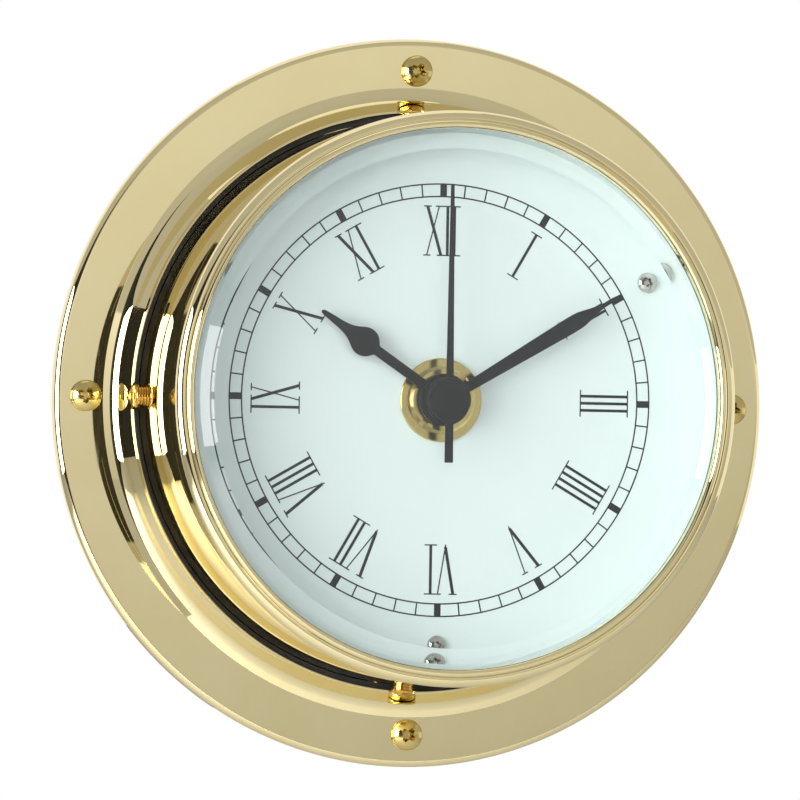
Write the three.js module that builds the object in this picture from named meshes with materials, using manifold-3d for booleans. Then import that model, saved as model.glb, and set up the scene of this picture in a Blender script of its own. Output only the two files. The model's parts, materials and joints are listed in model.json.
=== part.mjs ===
// Marine clock: a round brass quartz clock whose drum sits in a base ring screwed to a bulkhead.
// Millimetres, +Z up. The wall is the plane y = 0 and the dial faces -Y, so a distance in front
// of the wall, called depth here, runs along -Y. The clock's own axis is the Y axis.
// Angles round the dial are in degrees, clockwise from 12 as the viewer sees them.
import * as THREE from 'three';
import { mergeVertices } from 'three/addons/utils/BufferGeometryUtils.js';
import Module from 'manifold-3d';

const wasm = await Module();
wasm.setup();

// Clearances
const SEAT_GAP = 0.1;
const RUNNING_GAP = 0.15;
const SLIDE_GAP = 0.35;
const END_GAP = 0.3;
const CUT_PAST = 1;

// Base ring, whose radii grow outwards from the drum that it holds
const FLANGE_WIDTH = 11.9;
const FLANGE_THICKNESS = 3;
const FLANGE_RISE = 0.3;
const FLANGE_LIP = 1.4;
const FLANGE_BACK_CHAMFER = 0.5;
const SHOULDER_WIDTH = 3.45;
const RIM_WALL = 1.5;
const RIM_HEIGHT = 8.9;
const LEDGE_WIDTH = 3.2;
const LEDGE_THICKNESS = 1.2;

// Case drum and the studs in its wall
const DRUM_RADIUS = 58.5;
const DRUM_WALL = 1.5;
const DRUM_FRONT = 41.2;
const THREAD_STEP = 0.85;
const THREAD_LENGTH = 3.7;
const STUD_RADIUS = 2.5;
const STUD_DEPTH = 9.4;
const STUD_REACH = 2.1;
const STUD_TAIL = 1.1;
const STUD_DOME = 0.8;
const STUD_ANGLES = [357.5, 90, 182.5, 270];

// Bezel, glass and what lies behind the glass
const BEZEL_FRONT = 44.2;
const BEZEL_EDGE_ROUND = 1.6;
const BEZEL_GROOVE_INSET = 2.05;
const BEZEL_GROOVE_DROP = 1.4;
const BEZEL_BEAD_WIDTH = 1.6;
const BEZEL_SKIRT = 0.6;
const GLASS_THICKNESS = 3;
const GLASS_FRONT = 43;
const GLASS_LAND = 2.75;
const GLASS_BEVEL_WIDTH = 3.2;
const GLASS_BEVEL_DROP = 1.5;
const GASKET_THICKNESS = 0.7;
const GASKET_WIDTH = 1.5;
const INNER_RING_WALL = 1.3;

// Dial and its screws
const DIAL_FRONT = 26.6;
const DIAL_THICKNESS = 1;
const DIAL_SEAT_WIDTH = 2.9;
const DIAL_SEAT_THICKNESS = 1.5;
const DIAL_SCREW_INSET = 6.8;
const DIAL_SCREW_HEAD = 2.1;
const DIAL_SCREW_HEAD_HEIGHT = 1.3;
const DIAL_SCREW_SHANK = 1;
const DIAL_SCREW_LENGTH = 4.4;
const LUG_RADIUS = 3.4;
const LUG_THICKNESS = 5;

// Mounting screws
const SCREW_INSET = 6.7;
const SCREW_HEAD_RADIUS = 3.25;
const SCREW_HEAD_HEIGHT = 2;
const SCREW_SHANK_RADIUS = 1.75;
const SCREW_LENGTH = 18;
const SCREW_POINT = 3;

// Hands
const HOUR_HAND_LENGTH = 31.4;
const HOUR_ARM_WIDTH = 1.8;
const HOUR_SWELL_RADIUS = 20.4;
const HOUR_SWELL_WIDTH = 6;
const HOUR_TIP_WIDTH = 0.8;
const MINUTE_HAND_LENGTH = 41.8;
const MINUTE_ROOT_WIDTH = 2;
const MINUTE_WIDE_RADIUS = 32;
const MINUTE_WIDTH = 3.3;
const MINUTE_TIP_WIDTH = 0.8;
const SECOND_HAND_LENGTH = 43.9;
const SECOND_ROOT_WIDTH = 1.4;
const SECOND_TIP_WIDTH = 0.65;
const SECOND_TAIL_LENGTH = 12.9;
const SECOND_TAIL_WIDTH = 1.7;
const HAND_THICKNESS = 0.4;
const HOUR_BOSS_RADIUS = 5.34;
const HOUR_BOSS_FRONT = 30.85;
const MINUTE_BOSS_RADIUS = 4.56;
const MINUTE_BOSS_FRONT = 32.9;
const SECOND_CAP_RADIUS = 4.4;
const SECOND_CAP_FRONT = 35;
const BOSS_THICKNESS = 1.5;
const HOUR_ANGLE = 304.2;
const MINUTE_ANGLE = 58.7;
const SECOND_ANGLE = 0;

// Bush, washer and nut in the middle of the dial
const BUSH_RADIUS = 4;
const BUSH_LENGTH = 3.7;
const WASHER_RADIUS = 8.6;
const WASHER_THICKNESS = 0.6;
const NUT_RADIUS = 6.9;
const NUT_THICKNESS = 1.5;
const NUT_CHAMFER = 0.6;
const NUT_SLOT_WIDTH = 1.4;
const NUT_SLOT_ANGLE = 40;

// Movement housing, whose side follows from the battery and its contacts
const HOUSING_WALL = 1.2;
const HOUSING_CORNER = 2.5;
const HOUSING_THICKNESS = 16.3;
const HOUSING_BACK_PART = 8.1;
const FRONT_PLATE = 0.9;
const BACK_PLATE = 1;
const BAY_WALL = 1;
const PIN_RADIUS = 0.7;
const PILLAR_RADIUS = 1;
const PILLAR_LEFT = 9.6;
const PILLAR_RIGHT = 12.6;
const PILLAR_LOW = 6;
const ROOT = 0.2;

// Battery and its contacts
const BATTERY_RADIUS = 7.25;
const BATTERY_LENGTH = 50.5;
const BATTERY_NUB_RADIUS = 2.75;
const BATTERY_NUB_LENGTH = 1.5;
const BATTERY_CHAMFER = 0.6;
const CONTACT_THICKNESS = 0.4;
const CONTACT_RISE = 1;
const CONTACT_WIDTH = 8;
const CONTACT_BOSS_RADIUS = 2.5;

// Wheel train: teeth, modules and the levels of the wheels, in front of the back plate. A tooth's
// height above and below the pitch circle is in modules, and its half widths are shares of a pitch.
const ROTOR_PINION_TEETH = 6;
const INTERMEDIATE_WHEEL_TEETH = 36;
const INTERMEDIATE_PINION_TEETH = 6;
const SECOND_WHEEL_TEETH = 30;
const SECOND_PINION_TEETH = 6;
const THIRD_WHEEL_TEETH = 45;
const THIRD_PINION_TEETH = 6;
const CENTRE_WHEEL_TEETH = 48;
const CANNON_PINION_TEETH = 8;
const MINUTE_WHEEL_TEETH = 24;
const MINUTE_PINION_TEETH = 8;
const HOUR_WHEEL_TEETH = 32;
const SETTING_PINION_TEETH = 12;
const TOOTH_ADDENDUM = 0.8;
const TOOTH_DEDENDUM = 1;
const TOOTH_ROOT_HALF = 0.25;
const TOOTH_TIP_HALF = 0.1;
const ROTOR_MODULE = 0.36;
const SECOND_MODULE = 0.42;
const THIRD_MODULE = 0.36;
const MOTION_MODULE = 0.6;
const WHEEL_THICKNESS = 0.8;
const PINION_OVERHANG = 0.2;
const HUB_WALL = 0.4;
const LEVEL_STEP = 1.55;
const FIRST_LEVEL = 1;
const ARBOR_RADIUS = 0.6;
const PIVOT_RADIUS = 0.45;
const SECOND_ARBOR_RADIUS = 0.5;
const MINUTE_PIPE_RADIUS = 1.7;
const PIPE_WALL = 0.55;
const BRIDGE_THICKNESS = 0.8;
const BRIDGE_MARGIN = 0.2;
const SETTING_ARBOR_RADIUS = 0.8;
const KNOB_RADIUS = 5;
const KNOB_THICKNESS = 1.6;
const KNOB_RIBS = 12;

// Phase of the second wheel, and directions of the arbors in degrees counter-clockwise from 3 o'clock
const SECOND_PHASE = 0;
const INTERMEDIATE_DIRECTION = 53.5;
const ROTOR_DIRECTION = 90;
const THIRD_DIRECTION = 135;
const MINUTE_WHEEL_DIRECTION = 0;
const SETTING_DIRECTION = 40;

// Stepping motor and circuit
const MAGNET_RADIUS = 3;
const MAGNET_THICKNESS = 2;
const STATOR_THICKNESS = 1;
const STATOR_BAR = 7.6;
const STATOR_SPAN = 21;
const STATOR_ARM = 3;
const STATOR_GAP = 0.5;
const CORE_WIDTH = 2.8;
const CORE_THICKNESS = 1;
const WINDING_RADIUS = 3;
const BOBBIN_FLANGE = 0.8;
const BOBBIN_MARGIN = 0.2;
const SLEEVE_WALL = 0.5;
const BOARD_THICKNESS = 1;
const BOARD_STRIP = 3;
const BOARD_WIDTH = 12;
const BOARD_HEIGHT = 24;
const CHIP_SIDE = 5;
const CHIP_THICKNESS = 1.2;
const CRYSTAL_RADIUS = 1;
const CRYSTAL_LENGTH = 6;

// Facets of the turned bodies
const CASE_SEGMENTS = 40;
const SMALL_SEGMENTS = 16;
const SCREW_SEGMENTS = 12;
const ARBOR_SEGMENTS = 8;

// Places that follow from the sizes above
const baseBore = DRUM_RADIUS + SLIDE_GAP;
const ledgeRadius = baseBore - LEDGE_WIDTH;
const rimRadius = baseBore + RIM_WALL;
const shoulderRadius = rimRadius + SHOULDER_WIDTH;
const flangeRadius = shoulderRadius + FLANGE_WIDTH;
const screwCircle = flangeRadius - SCREW_INSET;
const drumBore = DRUM_RADIUS - DRUM_WALL;
const studEnd = DRUM_RADIUS + STUD_REACH;
const drumBack = LEDGE_THICKNESS + END_GAP;
const bezelGroove = DRUM_RADIUS - BEZEL_GROOVE_INSET;
const bezelInside = bezelGroove - BEZEL_BEAD_WIDTH;
const dialScrewCircle = drumBore - DIAL_SCREW_INSET;
const dialBack = DIAL_FRONT - DIAL_THICKNESS;
const dialRadius = drumBore - SLIDE_GAP;
const seatFront = dialBack - SEAT_GAP;
const glassBack = GLASS_FRONT - GLASS_THICKNESS;
const gasketBack = glassBack - SEAT_GAP - GASKET_THICKNESS;
const glassRadius = drumBore - SLIDE_GAP;
const glassRimFront = GLASS_FRONT - GLASS_BEVEL_DROP;
const glassBevelRadius = glassRadius - GLASS_LAND;
const bushBore = MINUTE_PIPE_RADIUS + RUNNING_GAP * 2 + PIPE_WALL + RUNNING_GAP * 2;
const minutePipeBore = SECOND_ARBOR_RADIUS + RUNNING_GAP * 2;
const hourPipeBore = MINUTE_PIPE_RADIUS + RUNNING_GAP * 2;
const hourPipeRadius = hourPipeBore + PIPE_WALL;
const housingFront = dialBack - END_GAP;
const housingBack = housingFront - HOUSING_THICKNESS;
const housingSplit = housingBack + HOUSING_BACK_PART;
const frontPlateInside = housingFront - FRONT_PLATE;
const backPlateInside = housingBack + BACK_PLATE;
const housingInside = BATTERY_LENGTH / 2 + CONTACT_RISE + CONTACT_THICKNESS + RUNNING_GAP;
const housingSide = (housingInside + HOUSING_WALL) * 2;
const batteryHeight = -housingInside + END_GAP + BATTERY_RADIUS;
const batteryDepth = frontPlateInside - END_GAP - BATTERY_RADIUS;
const bayTop = batteryHeight + BATTERY_RADIUS + END_GAP;
const nutBack = DIAL_FRONT + WASHER_THICKNESS + SEAT_GAP * 2;

// Depth of the back face of each wheel level, counted from the back plate
const level = (n) => backPlateInside + FIRST_LEVEL + n * LEVEL_STEP;
const bridgeBack = level(2) - BRIDGE_THICKNESS / 2;
const levelOfThird = bridgeBack + BRIDGE_THICKNESS + LEVEL_STEP - WHEEL_THICKNESS;
const levelOfCentre = levelOfThird + LEVEL_STEP;
const levelOfMotion = levelOfCentre + LEVEL_STEP + END_GAP;
const levelOfHour = levelOfMotion + LEVEL_STEP + END_GAP;
const statorBack = levelOfCentre - END_GAP;
const coreBack = statorBack + STATOR_THICKNESS + SEAT_GAP;
const pivotHole = PIVOT_RADIUS + RUNNING_GAP;
const coilHalf = STATOR_SPAN / 2 - STATOR_ARM - END_GAP;
const boardBack = backPlateInside + SEAT_GAP;
const boardFront = boardBack + BOARD_THICKNESS;
const boardMiddle = -housingInside + END_GAP + BOARD_WIDTH / 2;
const boardBottom = bayTop + BAY_WALL + END_GAP;

const radians = (degrees) => THREE.MathUtils.degToRad(degrees);

// Finishes
const polishedBrass = new THREE.MeshStandardMaterial({ color: 0xd4c18a, roughness: 0.08, metalness: 1 });
const studBrass = new THREE.MeshStandardMaterial({ color: 0xc99a3c, roughness: 0.2, metalness: 1 });
const turnedBrass = new THREE.MeshStandardMaterial({ color: 0xd0b055, roughness: 0.25, metalness: 1 });
const steel = new THREE.MeshStandardMaterial({ color: 0xb8b8b4, roughness: 0.25, metalness: 1 });
const iron = new THREE.MeshStandardMaterial({ color: 0x8a8d90, roughness: 0.4, metalness: 1 });
const copper = new THREE.MeshStandardMaterial({ color: 0xb4622c, roughness: 0.35, metalness: 1 });
const clearGlass = new THREE.MeshStandardMaterial({
  color: 0xe8f4f2, roughness: 0.02, metalness: 0, transparent: true, opacity: 0.3,
});
const dialWhite = new THREE.MeshStandardMaterial({ color: 0xcfdcdc, roughness: 0.5, metalness: 0 });
const handBlack = new THREE.MeshStandardMaterial({ color: 0x3a4040, roughness: 0.5, metalness: 0 });
const rubberBlack = new THREE.MeshStandardMaterial({ color: 0x1c1c1c, roughness: 0.8, metalness: 0 });
const housingPlastic = new THREE.MeshStandardMaterial({ color: 0x24262a, roughness: 0.5, metalness: 0 });
const wheelPlastic = new THREE.MeshStandardMaterial({ color: 0xe6e2d6, roughness: 0.5, metalness: 0 });
const boardGreen = new THREE.MeshStandardMaterial({ color: 0x2c6b42, roughness: 0.5, metalness: 0 });
const batteryJacket = new THREE.MeshStandardMaterial({ color: 0x3b4a5e, roughness: 0.35, metalness: 0.2 });

const clock = new THREE.Group();

// Adds a named piece to the clock, or to the group that carries it.
function piece(name, geometry, material, parent = clock) {
  const mesh = new THREE.Mesh(geometry, material);
  mesh.name = name;
  parent.add(mesh);
  return mesh;
}

// A group on its own arbor, at a place in the dial's plane.
function arborAt([x, z]) {
  const group = new THREE.Group();
  group.position.set(x, 0, z);
  clock.add(group);
  return group;
}

// Solid for joining and cutting: shared corners merged, and no triangle without area.
function toSolid(geometry) {
  const bare = geometry.clone();
  bare.deleteAttribute('normal');
  bare.deleteAttribute('uv');
  const merged = mergeVertices(bare, 1e-4);
  const triangles = [];
  for (let i = 0; i < merged.index.count; i += 3) {
    const corners = Array.from(merged.index.array.slice(i, i + 3));
    if (new Set(corners).size === 3) {
      triangles.push(...corners);
    }
  }
  return new wasm.Manifold(new wasm.Mesh({
    numProp: 3,
    vertProperties: merged.attributes.position.array,
    triVerts: new Uint32Array(triangles),
  }));
}

function toGeometry(solid) {
  const mesh = solid.getMesh();
  const geometry = new THREE.BufferGeometry();
  geometry.setAttribute('position', new THREE.BufferAttribute(mesh.vertProperties, 3));
  geometry.setIndex(new THREE.BufferAttribute(mesh.triVerts, 1));
  return geometry;
}

function cut(body, ...tools) {
  return toGeometry(tools.reduce((rest, tool) => rest.subtract(toSolid(tool)), toSolid(body)));
}

function join(...bodies) {
  const [first, ...others] = bodies.map(toSolid);
  return toGeometry(others.reduce((whole, body) => whole.add(body), first));
}

// Body turned about the clock's axis. The profile holds [radius, depth] points, counter-clockwise
// with the radius to the right and the depth up; it starts and ends on the axis, or is closed here.
function turned(profile, segments) {
  const points = profile.map(([radius, depth]) => new THREE.Vector2(radius, depth));
  if (profile[0][0] > 0) {
    points.push(points[0].clone());
  }
  return new THREE.LatheGeometry(points, segments).rotateX(Math.PI);
}

function disc(radius, back, front, segments = SMALL_SEGMENTS) {
  return turned([[0, back], [radius, back], [radius, front], [0, front]], segments);
}

function tube(inner, outer, back, front, segments = SMALL_SEGMENTS) {
  return turned([[inner, back], [outer, back], [outer, front], [inner, front]], segments);
}

// Points on an elliptical arc of a profile, from one angle to another, both ends included.
function arc(centreRadius, centreDepth, reach, rise, from, to, steps) {
  return Array.from({ length: steps + 1 }, (_, i) => {
    const angle = radians(from + (to - from) * i / steps);
    return [centreRadius + reach * Math.cos(angle), centreDepth + rise * Math.sin(angle)];
  });
}

// Flat body: the shape is drawn as the viewer sees it and reaches from one depth to another.
function plate(shape, back, front, curveSegments = 6) {
  const options = { depth: front - back, bevelEnabled: false, curveSegments };
  return new THREE.ExtrudeGeometry(shape, options).rotateX(Math.PI / 2).translate(0, -back, 0);
}

// Body drawn from its right side, with the height to the right and the depth up, and extruded
// to the viewer's right.
function sideways(shape, width, curveSegments = 6) {
  const heightAxis = new THREE.Vector3(0, 0, 1);
  const depthAxis = new THREE.Vector3(0, -1, 0);
  const widthAxis = new THREE.Vector3(1, 0, 0);
  return new THREE.ExtrudeGeometry(shape, { depth: width, bevelEnabled: false, curveSegments })
    .applyMatrix4(new THREE.Matrix4().makeBasis(heightAxis, depthAxis, widthAxis));
}

function rectangle(left, bottom, right, top) {
  return new THREE.Shape()
    .moveTo(left, bottom)
    .lineTo(right, bottom)
    .lineTo(right, top)
    .lineTo(left, top)
    .closePath();
}

function roundedSquare(side, corner) {
  const half = side / 2;
  const flat = half - corner;
  const shape = new THREE.Shape();
  shape.absarc(flat, flat, corner, 0, Math.PI / 2);
  shape.absarc(-flat, flat, corner, Math.PI / 2, Math.PI);
  shape.absarc(-flat, -flat, corner, Math.PI, Math.PI * 1.5);
  shape.absarc(flat, -flat, corner, Math.PI * 1.5, Math.PI * 2);
  return shape;
}

function withHole(shape, x, y, radius) {
  const hole = new THREE.Path();
  hole.absarc(x, y, radius, 0, Math.PI * 2, true);
  shape.holes.push(hole);
  return shape;
}

// Round bar along the clock's axis at a place in the dial's plane, for posts and for holes.
function barAt([x, z], radius, back, front, segments = ARBOR_SEGMENTS) {
  return disc(radius, back, front, segments).translate(x, 0, z);
}

const onDial = (angle, radius) => [radius * Math.sin(radians(angle)), radius * Math.cos(radians(angle))];

// Base ring: flange, rounded shoulder, narrow rim, and a ledge that the drum stands on.
// Each notch in the rim is a pocket, open to the front, that takes one stud of the drum.
function baseRing() {
  const flangeTop = FLANGE_THICKNESS + FLANGE_RISE;
  const lip = arc(
    flangeRadius - FLANGE_LIP, FLANGE_THICKNESS - FLANGE_LIP, FLANGE_LIP, FLANGE_LIP, 0, 90, 2,
  );
  const shoulder = arc(
    rimRadius, flangeTop, shoulderRadius - rimRadius, RIM_HEIGHT - flangeTop, 10, 90, 4,
  );
  const ring = turned([
    [ledgeRadius, 0],
    [flangeRadius - FLANGE_BACK_CHAMFER, 0],
    [flangeRadius, FLANGE_BACK_CHAMFER],
    ...lip,
    [shoulderRadius, flangeTop],
    ...shoulder,
    [baseBore, RIM_HEIGHT],
    [baseBore, LEDGE_THICKNESS],
    [ledgeRadius, LEDGE_THICKNESS],
  ], CASE_SEGMENTS);
  const notchHalf = STUD_RADIUS + SLIDE_GAP;
  const outline = new THREE.Shape();
  outline.absarc(0, STUD_DEPTH, notchHalf, Math.PI, Math.PI * 2);
  outline.lineTo(notchHalf, RIM_HEIGHT + notchHalf);
  outline.lineTo(-notchHalf, RIM_HEIGHT + notchHalf);
  const reach = studEnd + SLIDE_GAP * 2 - (baseBore - CUT_PAST);
  const options = { depth: reach, bevelEnabled: false, curveSegments: 6 };
  const notch = new THREE.ExtrudeGeometry(outline, options)
    .rotateZ(Math.PI)
    .translate(0, 0, baseBore - CUT_PAST);
  const hole = SCREW_SHANK_RADIUS + SLIDE_GAP;
  const tools = [];
  for (const angle of STUD_ANGLES) {
    tools.push(notch.clone().rotateY(radians(angle)));
  }
  for (const angle of [0, 90, 180, 270]) {
    const place = onDial(angle, screwCircle);
    tools.push(barAt(place, hole, -CUT_PAST, flangeTop + CUT_PAST, ARBOR_SEGMENTS));
  }
  return cut(ring, ...tools);
}

// Mounting screw: domed head on the flange, shank through it and a point in the wall behind.
function mountingScrew() {
  const seat = FLANGE_THICKNESS + FLANGE_RISE;
  const tip = seat - SCREW_LENGTH;
  const dome = arc(0, seat, SCREW_HEAD_RADIUS, SCREW_HEAD_HEIGHT, 0, 90, 3);
  return turned([
    [0, tip],
    [SCREW_SHANK_RADIUS, tip + SCREW_POINT],
    [SCREW_SHANK_RADIUS, seat],
    ...dome.slice(0, -1),
    [0, seat + SCREW_HEAD_HEIGHT],
  ], SCREW_SEGMENTS);
}

// Case drum: plain wall with holes for the studs and the thread for the bezel at the front.
function caseDrum() {
  const threadRadius = DRUM_RADIUS - THREAD_STEP;
  const threadBack = DRUM_FRONT - THREAD_LENGTH;
  const wall = turned([
    [drumBore, drumBack],
    [DRUM_RADIUS, drumBack],
    [DRUM_RADIUS, threadBack],
    [threadRadius, threadBack],
    [threadRadius, DRUM_FRONT],
    [drumBore, DRUM_FRONT],
  ], CASE_SEGMENTS);
  const holes = [];
  for (const angle of STUD_ANGLES) {
    const radius = STUD_RADIUS + RUNNING_GAP;
    const inner = drumBore - CUT_PAST;
    const outer = DRUM_RADIUS + CUT_PAST;
    holes.push(radial([[0, inner], [radius, inner], [radius, outer], [0, outer]]).rotateY(radians(angle)));
  }
  return cut(wall, ...holes);
}

// Dial seat: ring soldered into the drum, with one lug behind each dial screw.
function dialSeat() {
  const seatOuter = drumBore - SEAT_GAP;
  const seatRadius = drumBore - DIAL_SEAT_WIDTH;
  const seatBack = seatFront - DIAL_SEAT_THICKNESS;
  const ring = turned([
    [seatRadius, seatBack],
    [seatOuter, seatBack - DIAL_SEAT_WIDTH / 2],
    [seatOuter, seatFront],
    [seatRadius, seatFront],
  ], CASE_SEGMENTS);
  const lugOutline = new THREE.Shape();
  lugOutline.absarc(0, dialScrewCircle, LUG_RADIUS, Math.PI, Math.PI * 2);
  lugOutline.lineTo(LUG_RADIUS, seatRadius + DIAL_SEAT_WIDTH / 2);
  lugOutline.lineTo(-LUG_RADIUS, seatRadius + DIAL_SEAT_WIDTH / 2);
  const lug = plate(lugOutline, seatFront - LUG_THICKNESS, seatFront, 6);
  const lugs = [];
  const holes = [];
  for (const angle of [60, 180, 300]) {
    lugs.push(lug.clone().rotateY(radians(angle)));
    const hole = DIAL_SCREW_SHANK + RUNNING_GAP;
    const back = seatFront - LUG_THICKNESS - CUT_PAST;
    holes.push(barAt(onDial(angle, dialScrewCircle), hole, back, seatFront + CUT_PAST, SCREW_SEGMENTS));
  }
  return cut(join(ring, ...lugs), ...holes);
}

// Round body that stands out of the drum at 12 o'clock, from [radius, distance from the axis] points.
function radial(profile) {
  const points = profile.map(([radius, distance]) => new THREE.Vector2(radius, distance));
  return new THREE.LatheGeometry(points, SCREW_SEGMENTS).rotateX(Math.PI / 2).translate(0, -STUD_DEPTH, 0);
}

function stud() {
  const tail = drumBore - STUD_TAIL;
  const dome = arc(0, studEnd - STUD_DOME, STUD_RADIUS, STUD_DOME, 0, 90, 3);
  return radial([[0, tail], [STUD_RADIUS, tail], ...dome.slice(0, -1), [0, studEnd]]);
}

// Bezel: threaded skirt round the drum's front, outer bead, V groove, inner bead and a lip
// that holds the glass down.
function bezel() {
  const skirtInside = DRUM_RADIUS - BEZEL_SKIRT;
  const skirtBack = DRUM_FRONT - THREAD_LENGTH + END_GAP;
  const lipBack = glassRimFront + END_GAP;
  const bodyBack = DRUM_FRONT + END_GAP;
  const outerTop = BEZEL_FRONT - BEZEL_EDGE_ROUND / 2;
  const outerBead = arc(
    DRUM_RADIUS - BEZEL_EDGE_ROUND, outerTop - BEZEL_EDGE_ROUND, BEZEL_EDGE_ROUND, BEZEL_EDGE_ROUND, 0, 90, 3,
  );
  const innerHalf = BEZEL_BEAD_WIDTH / 2;
  const innerBead = arc(
    bezelInside + innerHalf, BEZEL_FRONT - innerHalf, innerHalf, innerHalf, 10, 170, 3,
  );
  return turned([
    [skirtInside, skirtBack],
    [DRUM_RADIUS, skirtBack],
    ...outerBead,
    [bezelGroove, BEZEL_FRONT - BEZEL_GROOVE_DROP],
    ...innerBead,
    [bezelInside, lipBack],
    [drumBore, lipBack],
    [drumBore, bodyBack],
    [skirtInside, bodyBack],
  ], CASE_SEGMENTS);
}

function glass() {
  return turned([
    [0, glassBack],
    [glassRadius, glassBack],
    [glassRadius, glassRimFront],
    [glassBevelRadius, glassRimFront],
    [glassBevelRadius - GLASS_BEVEL_WIDTH, GLASS_FRONT],
    [0, GLASS_FRONT],
  ], CASE_SEGMENTS);
}

function dial() {
  const face = disc(dialRadius, dialBack, DIAL_FRONT, CASE_SEGMENTS);
  const back = dialBack - CUT_PAST;
  const front = DIAL_FRONT + CUT_PAST;
  const holes = [barAt([0, 0], BUSH_RADIUS + SLIDE_GAP, back, front, SMALL_SEGMENTS)];
  for (const angle of [60, 180, 300]) {
    const place = onDial(angle, dialScrewCircle);
    holes.push(barAt(place, DIAL_SCREW_SHANK + RUNNING_GAP, back, front, SCREW_SEGMENTS));
  }
  return cut(face, ...holes);
}

function dialScrew() {
  const seat = DIAL_FRONT + SEAT_GAP;
  const dome = arc(0, seat, DIAL_SCREW_HEAD, DIAL_SCREW_HEAD_HEIGHT, 0, 90, 3);
  return turned([
    [0, seat - DIAL_SCREW_LENGTH],
    [DIAL_SCREW_SHANK, seat - DIAL_SCREW_LENGTH],
    [DIAL_SCREW_SHANK, seat],
    ...dome.slice(0, -1),
    [0, seat + DIAL_SCREW_HEAD_HEIGHT],
  ], SCREW_SEGMENTS);
}

// Thin brass washer with a rounded top, and the round nut with two spanner slots.
function washer() {
  const back = DIAL_FRONT + SEAT_GAP;
  const front = back + WASHER_THICKNESS;
  const round = WASHER_THICKNESS / 2;
  return turned([
    [BUSH_RADIUS + RUNNING_GAP, back],
    [WASHER_RADIUS - round / 2, back],
    [WASHER_RADIUS, back + round / 2],
    [WASHER_RADIUS - round, front],
    [BUSH_RADIUS + RUNNING_GAP, front],
  ], SMALL_SEGMENTS);
}

function nut() {
  const front = nutBack + NUT_THICKNESS;
  const body = turned([
    [BUSH_RADIUS + RUNNING_GAP, nutBack],
    [NUT_RADIUS, nutBack],
    [NUT_RADIUS, front - NUT_CHAMFER],
    [NUT_RADIUS - NUT_CHAMFER, front],
    [BUSH_RADIUS + RUNNING_GAP, front],
  ], SMALL_SEGMENTS);
  const half = NUT_SLOT_WIDTH / 2;
  const reach = (NUT_RADIUS - BUSH_RADIUS) * 0.65;
  const slot = rectangle(-half, NUT_RADIUS - reach, half, NUT_RADIUS + CUT_PAST);
  const tool = plate(slot, nutBack + NUT_THICKNESS / 3, front + CUT_PAST);
  const turns = [NUT_SLOT_ANGLE, NUT_SLOT_ANGLE + 180];
  return cut(body, ...turns.map((angle) => tool.clone().rotateY(radians(angle))));
}

// Hour hand: straight arm, pear-shaped swelling and a slim point, drawn pointing at 12.
function hourHand() {
  const arm = HOUR_ARM_WIDTH / 2;
  const swell = HOUR_SWELL_WIDTH / 2;
  const tip = HOUR_TIP_WIDTH / 2;
  const middle = HOUR_SWELL_RADIUS;
  const neck = middle - swell * 0.95;
  const shoulder = middle + swell * 2.1;
  const shape = new THREE.Shape();
  shape.moveTo(-arm, 0);
  shape.lineTo(arm, 0);
  shape.lineTo(arm, neck);
  shape.bezierCurveTo(swell * 0.8, neck, swell, middle - swell * 0.4, swell, middle);
  shape.bezierCurveTo(swell, middle + swell * 0.9, tip * 2.4, middle + swell * 1.2, tip * 1.7, shoulder);
  shape.lineTo(tip, HOUR_HAND_LENGTH - tip);
  shape.absarc(0, HOUR_HAND_LENGTH - tip, tip, 0, Math.PI);
  shape.lineTo(-tip * 1.7, shoulder);
  shape.bezierCurveTo(-tip * 2.4, middle + swell * 1.2, -swell, middle + swell * 0.9, -swell, middle);
  shape.bezierCurveTo(-swell, middle - swell * 0.4, -swell * 0.8, neck, -arm, neck);
  shape.closePath();
  return shape;
}

// Minute hand: widens slowly to its leaf, then draws in to a slim point.
function minuteHand() {
  const root = MINUTE_ROOT_WIDTH / 2;
  const wide = MINUTE_WIDTH / 2;
  const tip = MINUTE_TIP_WIDTH / 2;
  const leaf = MINUTE_WIDE_RADIUS;
  const narrow = leaf + (MINUTE_HAND_LENGTH - leaf) * 0.65;
  const shape = new THREE.Shape();
  shape.moveTo(-root, 0);
  shape.lineTo(root, 0);
  shape.lineTo(wide, leaf - wide);
  shape.bezierCurveTo(wide * 1.03, leaf, wide * 0.8, leaf + wide, tip, narrow);
  shape.lineTo(tip, MINUTE_HAND_LENGTH - tip);
  shape.lineTo(-tip, MINUTE_HAND_LENGTH - tip);
  shape.lineTo(-tip, narrow);
  shape.bezierCurveTo(-wide * 0.8, leaf + wide, -wide * 1.03, leaf, -wide, leaf - wide);
  shape.closePath();
  return shape;
}

function secondHand() {
  const root = SECOND_ROOT_WIDTH / 2;
  const tip = SECOND_TIP_WIDTH / 2;
  const tail = SECOND_TAIL_WIDTH / 2;
  const shape = new THREE.Shape();
  shape.moveTo(-tail, -SECOND_TAIL_LENGTH);
  shape.lineTo(tail, -SECOND_TAIL_LENGTH);
  shape.lineTo(tail, 0);
  shape.lineTo(root, SECOND_CAP_RADIUS);
  shape.lineTo(tip, SECOND_HAND_LENGTH);
  shape.lineTo(-tip, SECOND_HAND_LENGTH);
  shape.lineTo(-root, SECOND_CAP_RADIUS);
  shape.lineTo(-tail, 0);
  shape.closePath();
  return shape;
}

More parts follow.
